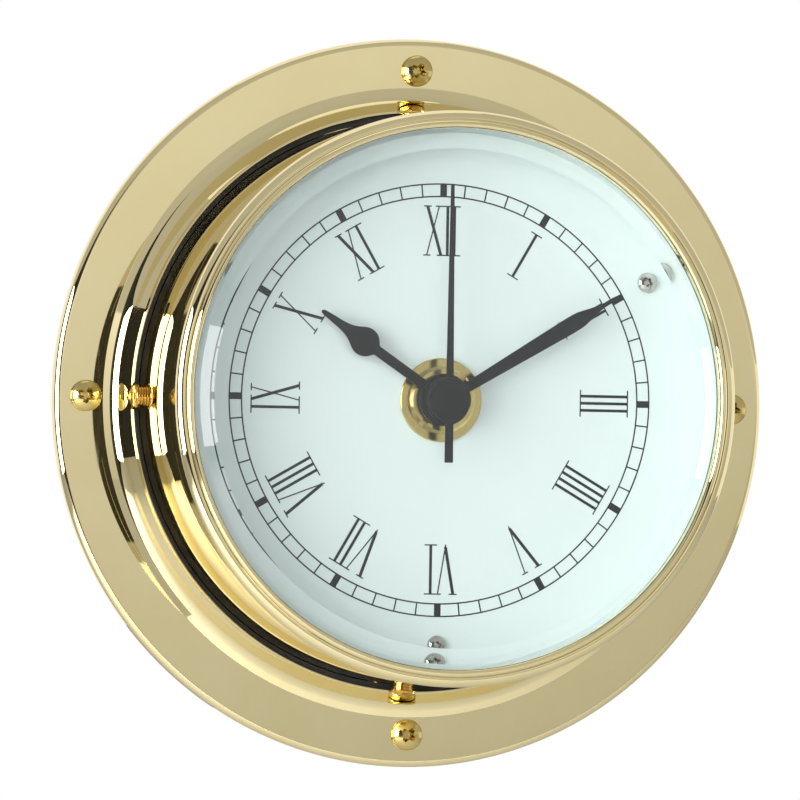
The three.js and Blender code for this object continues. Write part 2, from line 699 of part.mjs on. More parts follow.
// A hand: its blade and its boss, with the bore that its pipe or arbor fits.
function handOnBoss(shape, bossRadius, bossFront, bore, boreFront, angle) {
  const bossBack = bossFront - BOSS_THICKNESS;
  const bladeBack = bossBack + (BOSS_THICKNESS - HAND_THICKNESS) / 2;
  const blade = plate(shape, bladeBack, bladeBack + HAND_THICKNESS, 5);
  const round = BOSS_THICKNESS / 5;
  const boss = turned([
    [0, bossBack],
    [bossRadius - round, bossBack],
    [bossRadius, bossBack + round],
    [bossRadius, bossFront - round],
    [bossRadius - round, bossFront],
    [0, bossFront],
  ], SMALL_SEGMENTS);
  const hole = disc(bore, bossBack - CUT_PAST, boreFront, SCREW_SEGMENTS);
  return cut(join(boss, blade), hole).rotateY(radians(angle));
}

// Gear outline about its own centre. Straight-flanked teeth with the flanks drawn in, so that
// meshed wheels keep a running clearance. The first tooth points along the phase angle.
function gearShape(teeth, module, phase) {
  const pitch = Math.PI * 2 / teeth;
  const pitchRadius = teeth * module / 2;
  const root = pitchRadius - module * TOOTH_DEDENDUM;
  const tip = pitchRadius + module * TOOTH_ADDENDUM;
  const corners = [
    [root, -TOOTH_ROOT_HALF], [tip, -TOOTH_TIP_HALF], [tip, TOOTH_TIP_HALF], [root, TOOTH_ROOT_HALF],
  ];
  const points = [];
  for (let tooth = 0; tooth < teeth; tooth += 1) {
    for (const [radius, share] of corners) {
      const angle = phase + (tooth + share) * pitch;
      points.push(new THREE.Vector2(radius * Math.cos(angle), radius * Math.sin(angle)));
    }
  }
  return new THREE.Shape(points);
}

// Phase that puts a wheel in mesh with its driver, seen along the line from driver to wheel.
function phaseInMesh(driverTeeth, driverPhase, wheelTeeth, direction) {
  return direction + Math.PI - (driverTeeth / wheelTeeth) * (driverPhase - direction) + Math.PI / wheelTeeth;
}

const centreDistance = (teethA, teethB, module) => (teethA + teethB) * module / 2;
const along = (direction, distance, [x, z] = [0, 0]) => [
  x + distance * Math.cos(radians(direction)),
  z + distance * Math.sin(radians(direction)),
];

// Centre distances: both meshes between two arbors share one distance, so the second
// module of each pair follows from the first.
const intermediateDistance = centreDistance(SECOND_WHEEL_TEETH, INTERMEDIATE_PINION_TEETH, SECOND_MODULE);
const rotorDistance = centreDistance(INTERMEDIATE_WHEEL_TEETH, ROTOR_PINION_TEETH, ROTOR_MODULE);
const thirdDistance = centreDistance(SECOND_PINION_TEETH, THIRD_WHEEL_TEETH, THIRD_MODULE);
const centreModule = thirdDistance * 2 / (THIRD_PINION_TEETH + CENTRE_WHEEL_TEETH);
const minuteWheelDistance = centreDistance(CANNON_PINION_TEETH, MINUTE_WHEEL_TEETH, MOTION_MODULE);
const hourModule = minuteWheelDistance * 2 / (MINUTE_PINION_TEETH + HOUR_WHEEL_TEETH);
const settingDistance = centreDistance(MINUTE_WHEEL_TEETH, SETTING_PINION_TEETH, MOTION_MODULE);

const intermediatePlace = along(INTERMEDIATE_DIRECTION, intermediateDistance);
const rotorPlace = along(ROTOR_DIRECTION, rotorDistance, intermediatePlace);
const thirdPlace = along(THIRD_DIRECTION, thirdDistance);
const minuteWheelPlace = along(MINUTE_WHEEL_DIRECTION, minuteWheelDistance);
const settingPlace = along(SETTING_DIRECTION, settingDistance, minuteWheelPlace);

// A wheel at its level, and a pinion a little wider than the wheel that it drives.
function wheel(teeth, module, phase, back) {
  return plate(gearShape(teeth, module, phase), back, back + WHEEL_THICKNESS);
}

function pinion(teeth, module, phase, back) {
  const front = back + WHEEL_THICKNESS;
  return plate(gearShape(teeth, module, phase), back - PINION_OVERHANG, front + PINION_OVERHANG);
}

// Arbor with a thinner pivot at each end.
function arbor(radius, back, front, pivotBack, pivotFront) {
  return turned([
    [0, pivotBack],
    [PIVOT_RADIUS, pivotBack],
    [PIVOT_RADIUS, back],
    [radius, back],
    [radius, front],
    [PIVOT_RADIUS, front],
    [PIVOT_RADIUS, pivotFront],
    [0, pivotFront],
  ], ARBOR_SEGMENTS);
}

// Housing: two open shells that meet in the middle. A wall beside the battery divides the
// bay from the wheels, and stops short of the ends so that the contacts' tails can pass.
function baySpace(back, front) {
  return plate(rectangle(-housingInside, -housingInside, housingInside, bayTop), back, front);
}

function wheelSpace(back, front) {
  return plate(rectangle(-housingInside, bayTop + BAY_WALL, housingInside, housingInside), back, front);
}

function tailSpaces(back, front) {
  const width = CONTACT_THICKNESS + END_GAP * 3;
  const low = bayTop - CUT_PAST;
  const high = bayTop + BAY_WALL + CUT_PAST;
  const left = rectangle(-housingInside, low, -housingInside + width, high);
  const right = rectangle(housingInside - width, low, housingInside, high);
  return [plate(left, back, front), plate(right, back, front)];
}

// Places of the bridge's four pillars, and of the two pillars under the stator's arms.
const pillarHigh = rotorPlace[1] + MAGNET_RADIUS;
const pillarPlaces = [
  [-PILLAR_LEFT, -PILLAR_LOW],
  [PILLAR_RIGHT, -PILLAR_LOW],
  [-PILLAR_LEFT, pillarHigh],
  [PILLAR_RIGHT, pillarHigh],
];
const coreHeight = housingInside - END_GAP - BOBBIN_MARGIN - WINDING_RADIUS;
const armPlaces = [-1, 1].map((side) => [rotorPlace[0] + side * (STATOR_SPAN - STATOR_ARM) / 2, coreHeight]);

function housingBackShell() {
  const outer = plate(roundedSquare(housingSide, HOUSING_CORNER), housingBack, housingSplit - SEAT_GAP, 3);
  const hollowed = cut(
    outer,
    baySpace(housingBack - CUT_PAST, housingSplit + CUT_PAST),
    wheelSpace(backPlateInside, housingSplit + CUT_PAST),
    ...tailSpaces(backPlateInside, housingSplit + CUT_PAST),
  );
  const bridgePillars = pillarPlaces.map((place) => (
    barAt(place, PILLAR_RADIUS, backPlateInside - ROOT, bridgeBack - SEAT_GAP)
  ));
  const statorPillars = armPlaces.map((place) => (
    barAt(place, PILLAR_RADIUS, backPlateInside - ROOT, statorBack - SEAT_GAP)
  ));
  const holes = [[0, 0], intermediatePlace, rotorPlace, thirdPlace].map((place) => (
    barAt(place, pivotHole, housingBack - CUT_PAST, backPlateInside + CUT_PAST)
  ));
  const settingBore = SETTING_ARBOR_RADIUS + RUNNING_GAP;
  const settingHole = barAt(settingPlace, settingBore, housingBack - CUT_PAST, backPlateInside + CUT_PAST);
  return cut(join(hollowed, ...bridgePillars, ...statorPillars), ...holes, settingHole);
}

function housingFrontShell() {
  const outer = plate(roundedSquare(housingSide, HOUSING_CORNER), housingSplit, housingFront, 3);
  const hollowed = cut(
    outer,
    baySpace(housingSplit - CUT_PAST, frontPlateInside),
    wheelSpace(housingSplit - CUT_PAST, frontPlateInside),
    ...tailSpaces(housingSplit - CUT_PAST, frontPlateInside),
  );
  const bushFront = housingFront + BUSH_LENGTH;
  const bush = barAt([0, 0], BUSH_RADIUS, frontPlateInside, bushFront, SMALL_SEGMENTS);
  const pin = barAt(minuteWheelPlace, PIN_RADIUS, levelOfMotion - END_GAP, frontPlateInside + ROOT);
  const bore = barAt([0, 0], bushBore, frontPlateInside - CUT_PAST, bushFront + CUT_PAST, SMALL_SEGMENTS);
  const holes = [rotorPlace, thirdPlace, settingPlace].map((place) => (
    barAt(place, pivotHole, frontPlateInside - CUT_PAST, housingFront + CUT_PAST)
  ));
  return cut(join(hollowed, bush, pin), bore, ...holes);
}

// Bridge between the first and the later wheels, on four pillars of the back shell.
function trainBridge() {
  const edge = PILLAR_RADIUS + BRIDGE_MARGIN;
  const outline = rectangle(-PILLAR_LEFT - edge, -PILLAR_LOW - edge, PILLAR_RIGHT + edge, pillarHigh + edge);
  withHole(outline, 0, 0, SECOND_ARBOR_RADIUS + RUNNING_GAP * 2);
  withHole(outline, ...intermediatePlace, pivotHole);
  withHole(outline, ...rotorPlace, ARBOR_RADIUS + RUNNING_GAP * 2);
  withHole(outline, ...thirdPlace, ARBOR_RADIUS + RUNNING_GAP * 2);
  return plate(outline, bridgeBack, bridgeBack + BRIDGE_THICKNESS);
}

// Stator: a bar round the rotor and two arms up to the coil's core.
function stator() {
  const [x, z] = rotorPlace;
  const half = STATOR_SPAN / 2;
  const bar = STATOR_BAR / 2;
  const top = coreHeight + STATOR_ARM / 2;
  const outline = new THREE.Shape()
    .moveTo(x - half, z - bar)
    .lineTo(x + half, z - bar)
    .lineTo(x + half, top)
    .lineTo(x + half - STATOR_ARM, top)
    .lineTo(x + half - STATOR_ARM, z + bar)
    .lineTo(x - half + STATOR_ARM, z + bar)
    .lineTo(x - half + STATOR_ARM, top)
    .lineTo(x - half, top)
    .closePath();
  withHole(outline, x, z, MAGNET_RADIUS + STATOR_GAP);
  return plate(outline, statorBack, statorBack + STATOR_THICKNESS);
}

function coilCore() {
  const half = STATOR_SPAN / 2;
  const low = coreHeight - CORE_WIDTH / 2;
  const outline = rectangle(rotorPlace[0] - half, low, rotorPlace[0] + half, low + CORE_WIDTH);
  return plate(outline, coreBack, coreBack + CORE_THICKNESS);
}

// A block round the coil's core, between two places along it, with a bore that clears the core.
function aroundCore(outline, boreGap, from, to) {
  const halfBore = CORE_WIDTH / 2 + boreGap;
  const boreRise = CORE_THICKNESS / 2 + boreGap;
  const hole = new THREE.Path()
    .moveTo(-halfBore, -boreRise)
    .lineTo(-halfBore, boreRise)
    .lineTo(halfBore, boreRise)
    .lineTo(halfBore, -boreRise)
    .closePath();
  outline.holes.push(hole);
  return sideways(outline, to - from, 5).translate(from, -coreBack - CORE_THICKNESS / 2, coreHeight);
}

function coilBobbin() {
  const left = rotorPlace[0] - coilHalf;
  const right = rotorPlace[0] + coilHalf;
  const halfWidth = CORE_WIDTH / 2 + RUNNING_GAP + SLEEVE_WALL;
  const halfRise = CORE_THICKNESS / 2 + RUNNING_GAP + SLEEVE_WALL;
  const sleeve = () => rectangle(-halfWidth, -halfRise, halfWidth, halfRise);
  const flange = () => new THREE.Shape().absarc(0, 0, WINDING_RADIUS + BOBBIN_MARGIN, 0, Math.PI * 2);
  return join(
    aroundCore(sleeve(), RUNNING_GAP, left, right),
    aroundCore(flange(), RUNNING_GAP, left, left + BOBBIN_FLANGE),
    aroundCore(flange(), RUNNING_GAP, right - BOBBIN_FLANGE, right),
  );
}

function coilWinding() {
  const inset = BOBBIN_FLANGE + SEAT_GAP;
  const outline = new THREE.Shape().absarc(0, 0, WINDING_RADIUS, 0, Math.PI * 2);
  const gap = RUNNING_GAP + SLEEVE_WALL + SEAT_GAP;
  return aroundCore(outline, gap, rotorPlace[0] - coilHalf + inset, rotorPlace[0] + coilHalf - inset);
}

// Circuit board: a strip along the battery bay and a block that carries chip and crystal.
function circuitBoard() {
  const left = -housingInside + END_GAP;
  const outline = new THREE.Shape()
    .moveTo(left, boardBottom)
    .lineTo(-left, boardBottom)
    .lineTo(-left, boardBottom + BOARD_STRIP)
    .lineTo(left + BOARD_WIDTH, boardBottom + BOARD_STRIP)
    .lineTo(left + BOARD_WIDTH, boardBottom + BOARD_HEIGHT)
    .lineTo(left, boardBottom + BOARD_HEIGHT)
    .closePath();
  return plate(outline, boardBack, boardBack + BOARD_THICKNESS);
}

function chip() {
  const height = boardBottom + BOARD_HEIGHT * 0.4;
  const half = CHIP_SIDE / 2;
  const outline = rectangle(boardMiddle - half, height - half, boardMiddle + half, height + half);
  return plate(outline, boardFront + SEAT_GAP, boardFront + SEAT_GAP + CHIP_THICKNESS);
}

function crystal() {
  const height = boardBottom + BOARD_HEIGHT * 0.75;
  return new THREE.CylinderGeometry(CRYSTAL_RADIUS, CRYSTAL_RADIUS, CRYSTAL_LENGTH, ARBOR_SEGMENTS)
    .rotateZ(Math.PI / 2)
    .translate(boardMiddle, -(boardFront + SEAT_GAP + CRYSTAL_RADIUS), height);
}

function battery() {
  const half = BATTERY_LENGTH / 2;
  const profile = [
    [0, -half],
    [BATTERY_RADIUS - BATTERY_CHAMFER, -half],
    [BATTERY_RADIUS, -half + BATTERY_CHAMFER],
    [BATTERY_RADIUS, half - BATTERY_NUB_LENGTH - BATTERY_CHAMFER],
    [BATTERY_RADIUS - BATTERY_CHAMFER, half - BATTERY_NUB_LENGTH],
    [BATTERY_NUB_RADIUS, half - BATTERY_NUB_LENGTH],
    [BATTERY_NUB_RADIUS, half],
    [0, half],
  ];
  const points = profile.map(([radius, length]) => new THREE.Vector2(radius, length));
  return new THREE.LatheGeometry(points, SMALL_SEGMENTS)
    .rotateZ(-Math.PI / 2)
    .translate(0, -batteryDepth, batteryHeight);
}

// Contact: a strip on the end wall of the bay with a raised spot that meets the battery, and a
// tail past the end of the bay wall to the circuit board. Side is 1 at the right end, -1 at the left.
function contact(side) {
  const wallFace = housingInside - RUNNING_GAP;
  const half = CONTACT_WIDTH / 2;
  const tailTop = boardBottom + BOARD_STRIP * 0.8;
  const tailBack = boardFront + SEAT_GAP;
  const outline = new THREE.Shape()
    .moveTo(batteryHeight - half, batteryDepth - half)
    .lineTo(batteryHeight + half, batteryDepth - half)
    .lineTo(batteryHeight + half, tailBack)
    .lineTo(tailTop, tailBack)
    .lineTo(tailTop, tailBack + half / 2)
    .lineTo(batteryHeight + half, batteryDepth + half)
    .lineTo(batteryHeight - half, batteryDepth + half)
    .closePath();
  const strip = sideways(outline, CONTACT_THICKNESS);
  const reach = CONTACT_RISE - RUNNING_GAP;
  const boss = new THREE.CylinderGeometry(
    CONTACT_BOSS_RADIUS * 0.7, CONTACT_BOSS_RADIUS, reach + CONTACT_THICKNESS / 2, ARBOR_SEGMENTS,
  ).rotateZ(Math.PI / 2);
  const bossMiddle = wallFace - CONTACT_THICKNESS / 2 - (reach + CONTACT_THICKNESS / 2) / 2;
  const whole = join(
    strip.translate(wallFace - CONTACT_THICKNESS, 0, 0),
    boss.translate(bossMiddle, -batteryDepth, batteryHeight),
  );
  return side > 0 ? whole : mirrored(whole);
}

// Mirror image across the plane x = 0, with the faces turned to point outwards again.
function mirrored(geometry) {
  const flipped = geometry.clone().scale(-1, 1, 1);
  const index = Array.from(flipped.index.array);
  for (let i = 0; i < index.length; i += 3) {
    [index[i], index[i + 1]] = [index[i + 1], index[i]];
  }
  return flipped.setIndex(index);
}

// Case
piece('base_ring', baseRing(), polishedBrass);
for (const [i, angle] of [0, 90, 180, 270].entries()) {
  const [x, z] = onDial(angle, screwCircle);
  piece(`mounting_screw_${i + 1}`, mountingScrew(), turnedBrass).position.set(x, -SEAT_GAP, z);
  piece(`stud_${i + 1}`, stud(), studBrass).rotation.y = radians(STUD_ANGLES[i]);
}
piece('case_drum', caseDrum(), polishedBrass);
piece('dial_seat', dialSeat(), polishedBrass);
piece('bezel', bezel(), polishedBrass);
piece('glass', glass(), clearGlass);
piece('glass_gasket', tube(
  glassRadius - GASKET_WIDTH, glassRadius, gasketBack, glassBack - SEAT_GAP, CASE_SEGMENTS,
), rubberBlack);
piece('inner_ring', tube(
  dialRadius - INNER_RING_WALL, dialRadius, DIAL_FRONT + SEAT_GAP, gasketBack - SEAT_GAP, CASE_SEGMENTS,
), dialWhite);

// Dial
piece('dial', dial(), dialWhite);
for (const [i, angle] of [60, 180, 300].entries()) {
  const [x, z] = onDial(angle, dialScrewCircle);
  piece(`dial_screw_${i + 1}`, dialScrew(), steel).position.set(x, 0, z);
}
piece('washer', washer(), turnedBrass);
piece('nut', nut(), turnedBrass);

// Hands
const hourPipeFront = HOUR_BOSS_FRONT - END_GAP;
const minutePipeFront = MINUTE_BOSS_FRONT - END_GAP;
const secondArborFront = SECOND_CAP_FRONT - END_GAP * 2;
piece('hour_hand', handOnBoss(
  hourHand(), HOUR_BOSS_RADIUS, HOUR_BOSS_FRONT, hourPipeRadius + SEAT_GAP,
  HOUR_BOSS_FRONT + CUT_PAST, HOUR_ANGLE,
), handBlack);
piece('minute_hand', handOnBoss(
  minuteHand(), MINUTE_BOSS_RADIUS, MINUTE_BOSS_FRONT, MINUTE_PIPE_RADIUS + SEAT_GAP,
  MINUTE_BOSS_FRONT + CUT_PAST, MINUTE_ANGLE,
), handBlack);
piece('second_hand', handOnBoss(
  secondHand(), SECOND_CAP_RADIUS, SECOND_CAP_FRONT, SECOND_ARBOR_RADIUS + SEAT_GAP,
  secondArborFront + SEAT_GAP, SECOND_ANGLE,
), handBlack);

// Movement housing
piece('housing_back', housingBackShell(), housingPlastic);
piece('housing_front', housingFrontShell(), housingPlastic);
piece('train_bridge', trainBridge(), housingPlastic);

// Wheel train, each arbor in its own group. Phases are worked out from mesh to mesh.
const pivotBack = housingBack + END_GAP;
const pivotFront = housingFront - END_GAP / 2;
const arborBack = backPlateInside + END_GAP;
const arborFront = frontPlateInside - END_GAP;
const intermediatePhase = phaseInMesh(
  SECOND_WHEEL_TEETH, SECOND_PHASE, INTERMEDIATE_PINION_TEETH, radians(INTERMEDIATE_DIRECTION),
);
const rotorPhase = phaseInMesh(
  INTERMEDIATE_WHEEL_TEETH, intermediatePhase, ROTOR_PINION_TEETH, radians(ROTOR_DIRECTION),
);
const thirdPhase = phaseInMesh(
  SECOND_PINION_TEETH, SECOND_PHASE, THIRD_WHEEL_TEETH, radians(THIRD_DIRECTION),
);
const centrePhase = phaseInMesh(
  THIRD_PINION_TEETH, thirdPhase, CENTRE_WHEEL_TEETH, radians(THIRD_DIRECTION + 180),
);
const minuteWheelPhase = phaseInMesh(
  CANNON_PINION_TEETH, centrePhase, MINUTE_WHEEL_TEETH, radians(MINUTE_WHEEL_DIRECTION),
);
const hourPhase = phaseInMesh(
  MINUTE_PINION_TEETH, minuteWheelPhase, HOUR_WHEEL_TEETH, radians(MINUTE_WHEEL_DIRECTION + 180),
);
const settingPhase = phaseInMesh(
  MINUTE_WHEEL_TEETH, minuteWheelPhase, SETTING_PINION_TEETH, radians(SETTING_DIRECTION),
);

const rotorArbor = arborAt(rotorPlace);
piece('rotor_pinion', join(
  arbor(ARBOR_RADIUS, arborBack, arborFront, pivotBack, pivotFront),
  pinion(ROTOR_PINION_TEETH, ROTOR_MODULE, rotorPhase, level(0)),
), wheelPlastic, rotorArbor);
const magnetBack = statorBack + STATOR_THICKNESS / 2 - MAGNET_THICKNESS / 2;
piece('rotor_magnet', tube(
  ARBOR_RADIUS + SEAT_GAP, MAGNET_RADIUS, magnetBack, magnetBack + MAGNET_THICKNESS,
), iron, rotorArbor);

const intermediateArbor = arborAt(intermediatePlace);
piece('intermediate_wheel', join(
  arbor(ARBOR_RADIUS, arborBack, bridgeBack - END_GAP, pivotBack, bridgeBack + BRIDGE_THICKNESS),
  wheel(INTERMEDIATE_WHEEL_TEETH, ROTOR_MODULE, intermediatePhase, level(0)),
  pinion(INTERMEDIATE_PINION_TEETH, SECOND_MODULE, intermediatePhase, level(1)),
), wheelPlastic, intermediateArbor);

const thirdArbor = arborAt(thirdPlace);
piece('third_wheel', join(
  arbor(ARBOR_RADIUS, arborBack, arborFront, pivotBack, pivotFront),
  wheel(THIRD_WHEEL_TEETH, THIRD_MODULE, thirdPhase, levelOfThird),
  pinion(THIRD_PINION_TEETH, centreModule, thirdPhase, levelOfCentre),
), wheelPlastic, thirdArbor);

const centreArbor = arborAt([0, 0]);
const secondWheelShape = gearShape(SECOND_WHEEL_TEETH, SECOND_MODULE, SECOND_PHASE);
withHole(secondWheelShape, 0, 0, SECOND_ARBOR_RADIUS + SEAT_GAP);
piece('second_wheel', plate(
  secondWheelShape, level(1), level(1) + WHEEL_THICKNESS,
), wheelPlastic, centreArbor);
piece('second_arbor', join(
  disc(PIVOT_RADIUS, pivotBack, arborBack + ROOT, ARBOR_SEGMENTS),
  disc(SECOND_ARBOR_RADIUS, arborBack, secondArborFront, ARBOR_SEGMENTS),
  pinion(SECOND_PINION_TEETH, THIRD_MODULE, SECOND_PHASE, levelOfThird),
), steel, centreArbor);
const centreWheelShape = gearShape(CENTRE_WHEEL_TEETH, centreModule, centrePhase);
withHole(centreWheelShape, 0, 0, MINUTE_PIPE_RADIUS + SEAT_GAP);
piece('centre_wheel', plate(
  centreWheelShape, levelOfCentre, levelOfCentre + WHEEL_THICKNESS,
), wheelPlastic, centreArbor);
piece('minute_pipe', cut(
  join(
    disc(MINUTE_PIPE_RADIUS, levelOfCentre - SEAT_GAP, minutePipeFront),
    pinion(CANNON_PINION_TEETH, MOTION_MODULE, centrePhase, levelOfMotion),
  ),
  disc(minutePipeBore, levelOfCentre - CUT_PAST, minutePipeFront + CUT_PAST, ARBOR_SEGMENTS),
), turnedBrass, centreArbor);
piece('hour_wheel', cut(
  join(
    wheel(HOUR_WHEEL_TEETH, hourModule, hourPhase, levelOfHour),
    disc(hourPipeRadius, levelOfHour, hourPipeFront),
  ),
  disc(hourPipeBore, levelOfHour - CUT_PAST, hourPipeFront + CUT_PAST),
), wheelPlastic, centreArbor);

const minuteArbor = arborAt(minuteWheelPlace);
piece('minute_wheel', cut(
  join(
    wheel(MINUTE_WHEEL_TEETH, MOTION_MODULE, minuteWheelPhase, levelOfMotion),
    pinion(MINUTE_PINION_TEETH, hourModule, minuteWheelPhase, levelOfHour),
    disc(PIN_RADIUS + RUNNING_GAP + HUB_WALL, levelOfMotion, levelOfHour + HUB_WALL, ARBOR_SEGMENTS),
  ),
  disc(PIN_RADIUS + RUNNING_GAP, levelOfMotion - CUT_PAST, frontPlateInside, ARBOR_SEGMENTS),
), wheelPlastic, minuteArbor);

const settingArbor = arborAt(settingPlace);
const knobFront = housingBack - END_GAP;
piece('setting_wheel', join(
  disc(SETTING_ARBOR_RADIUS, knobFront - KNOB_THICKNESS, arborFront, ARBOR_SEGMENTS),
  disc(PIVOT_RADIUS, arborFront - ROOT, pivotFront, ARBOR_SEGMENTS),
  pinion(SETTING_PINION_TEETH, MOTION_MODULE, settingPhase, levelOfMotion),
), wheelPlastic, settingArbor);
const knobModule = KNOB_RADIUS * 2 / (KNOB_RIBS + TOOTH_ADDENDUM * 2);
const knobShape = withHole(gearShape(KNOB_RIBS, knobModule, 0), 0, 0, SETTING_ARBOR_RADIUS + SEAT_GAP);
piece('setting_knob', plate(knobShape, knobFront - KNOB_THICKNESS, knobFront), housingPlastic, settingArbor);

// Stepping motor
piece('stator', stator(), iron);
piece('coil_core', coilCore(), iron);
piece('coil_bobbin', coilBobbin(), wheelPlastic);
piece('coil_winding', coilWinding(), copper);

// Circuit and battery
piece('circuit_board', circuitBoard(), boardGreen);
piece('chip', chip(), rubberBlack);
piece('crystal', crystal(), steel);
piece('battery', battery(), batteryJacket);
piece('contact_plus', contact(1), steel);
piece('contact_minus', contact(-1), steel);

export default clock;
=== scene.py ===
"""Marine clock: the looks of its pieces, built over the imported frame.

The classes below hold sizes in millimetres, and the bench turns them into metres where it makes
a mesh. The clock's own axis is the Y axis. Depth is the distance in front of the wall, along -Y.
Angles round the dial are in degrees, clockwise from 12 as the viewer sees them.
"""

import json
import logging
from collections.abc import Sequence
from dataclasses import dataclass, field
from enum import Enum
from itertools import pairwise
from math import cos, hypot, pi, radians, sin, tan, tau

import bpy
from mathutils import Matrix, Vector


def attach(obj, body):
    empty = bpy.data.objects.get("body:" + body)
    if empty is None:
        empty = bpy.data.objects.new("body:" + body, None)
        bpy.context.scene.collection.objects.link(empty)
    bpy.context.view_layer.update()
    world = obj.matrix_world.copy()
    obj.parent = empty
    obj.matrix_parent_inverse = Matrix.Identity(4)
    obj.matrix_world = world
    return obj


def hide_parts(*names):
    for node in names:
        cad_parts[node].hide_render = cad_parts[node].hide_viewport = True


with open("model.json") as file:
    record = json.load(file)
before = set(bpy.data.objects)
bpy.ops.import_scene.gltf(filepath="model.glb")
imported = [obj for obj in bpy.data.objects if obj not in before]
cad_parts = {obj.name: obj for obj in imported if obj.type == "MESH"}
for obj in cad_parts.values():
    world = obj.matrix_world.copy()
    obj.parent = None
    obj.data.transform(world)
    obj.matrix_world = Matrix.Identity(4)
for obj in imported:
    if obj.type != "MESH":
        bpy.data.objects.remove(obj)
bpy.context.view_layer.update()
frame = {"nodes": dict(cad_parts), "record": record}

MM = 0.001
CASE_STEPS = 240
NUT_STEPS = 128
BOSS_STEPS = 96
SMALL_STEPS = 64
BORE_STEPS = 48
DRILL_STEPS = 32
THREAD_STEPS = 32
STUD_ANGLES = (357.5, 90, 182.5, 270)
MOUNTING_ANGLES = (0, 90, 180, 270)
DIAL_SCREW_ANGLES = (60, 180, 300)
SHARP_EDGE = 30
THREAD_CREASE = 25
BODY_MERGE = 1e-6
Point = tuple[float, float]
Triple = tuple[float, float, float]

log = logging.getLogger("clock")


def on_dial(angle: float, radius: float) -> Vector:
    """Finds a place on the wall's plane, in metres, at a clockwise angle from 12 and a radius."""
    turn = radians(angle)
    return Vector((radius * sin(turn), 0, radius * cos(turn))) * MM


def dial_turn(angle: float) -> Matrix:
    """Gives the turn about the clock's axis that takes 12 to a clockwise angle."""
    return Matrix.Rotation(radians(angle), 4, "Y")


def screw_places(angles: Sequence[float], circle: float, turns: Sequence[float]) -> list[Matrix]:
    """Gives the place of each screw on a circle, with the turn of its head."""
    spots = zip(angles, turns)
    return [Matrix.Translation(on_dial(angle, circle)) @ dial_turn(turn) for angle, turn in spots]


def lower_half(radius: float, steps: int) -> list[Point]:
    """Gives a half circle's points, from the left over the bottom to the right."""
    turns = [pi + pi * step / steps for step in range(steps + 1)]
    return [(radius * cos(turn), radius * sin(turn)) for turn in turns]


@dataclass
class Section:
    """Half section of a turned piece.

    A straight line gets a support point close to each of its ends, so that smooth shading
    leaves the flat between them flat.

    Attributes:
        points: Radius and depth of each corner, in millimetres.
        guard: Distance of a support point from its corner.
    """

    points: list[Point] = field(default_factory=list)
    guard: float = 0.05

    def to(self, *corners: Point) -> "Section":
        """Draws straight lines through corners.

        Args:
            *corners: Radius and depth of each corner.

        Returns:
            The section itself.
        """
        for corner in corners:
            if self.points:
                last = self.points[-1]
                length = hypot(corner[0] - last[0], corner[1] - last[1])
                if length > self.guard * 5:
                    share = self.guard / length
                    for along, far in ((share, corner), (1 - share, last)):
                        if min(last[0], corner[0]) > 0 or far[0] == 0:
                            self.points.append(tuple(a + (b - a) * along for a, b in zip(last, corner)))
            self.points.append(corner)
        return self

    def arc(
        self, centre: Point, reach: float, rise: float, start: float, end: float, steps: int,
    ) -> "Section":
        """Draws an elliptical arc.

        Args:
            centre: Radius and depth of its centre.
            reach: Half axis along the radius.
            rise: Half axis along the depth.
            start: First angle, in degrees from the outward direction.
            end: Last angle.
            steps: Number of straight parts.

        Returns:
            The section itself.
        """
        for step in range(steps + 1):
            turn = radians(start + (end - start) * step / steps)
            point = (centre[0] + reach * cos(turn), centre[1] + rise * sin(turn))
            if step == 0:
                self.to(point)
            else:
                self.points.append(point)
        return self


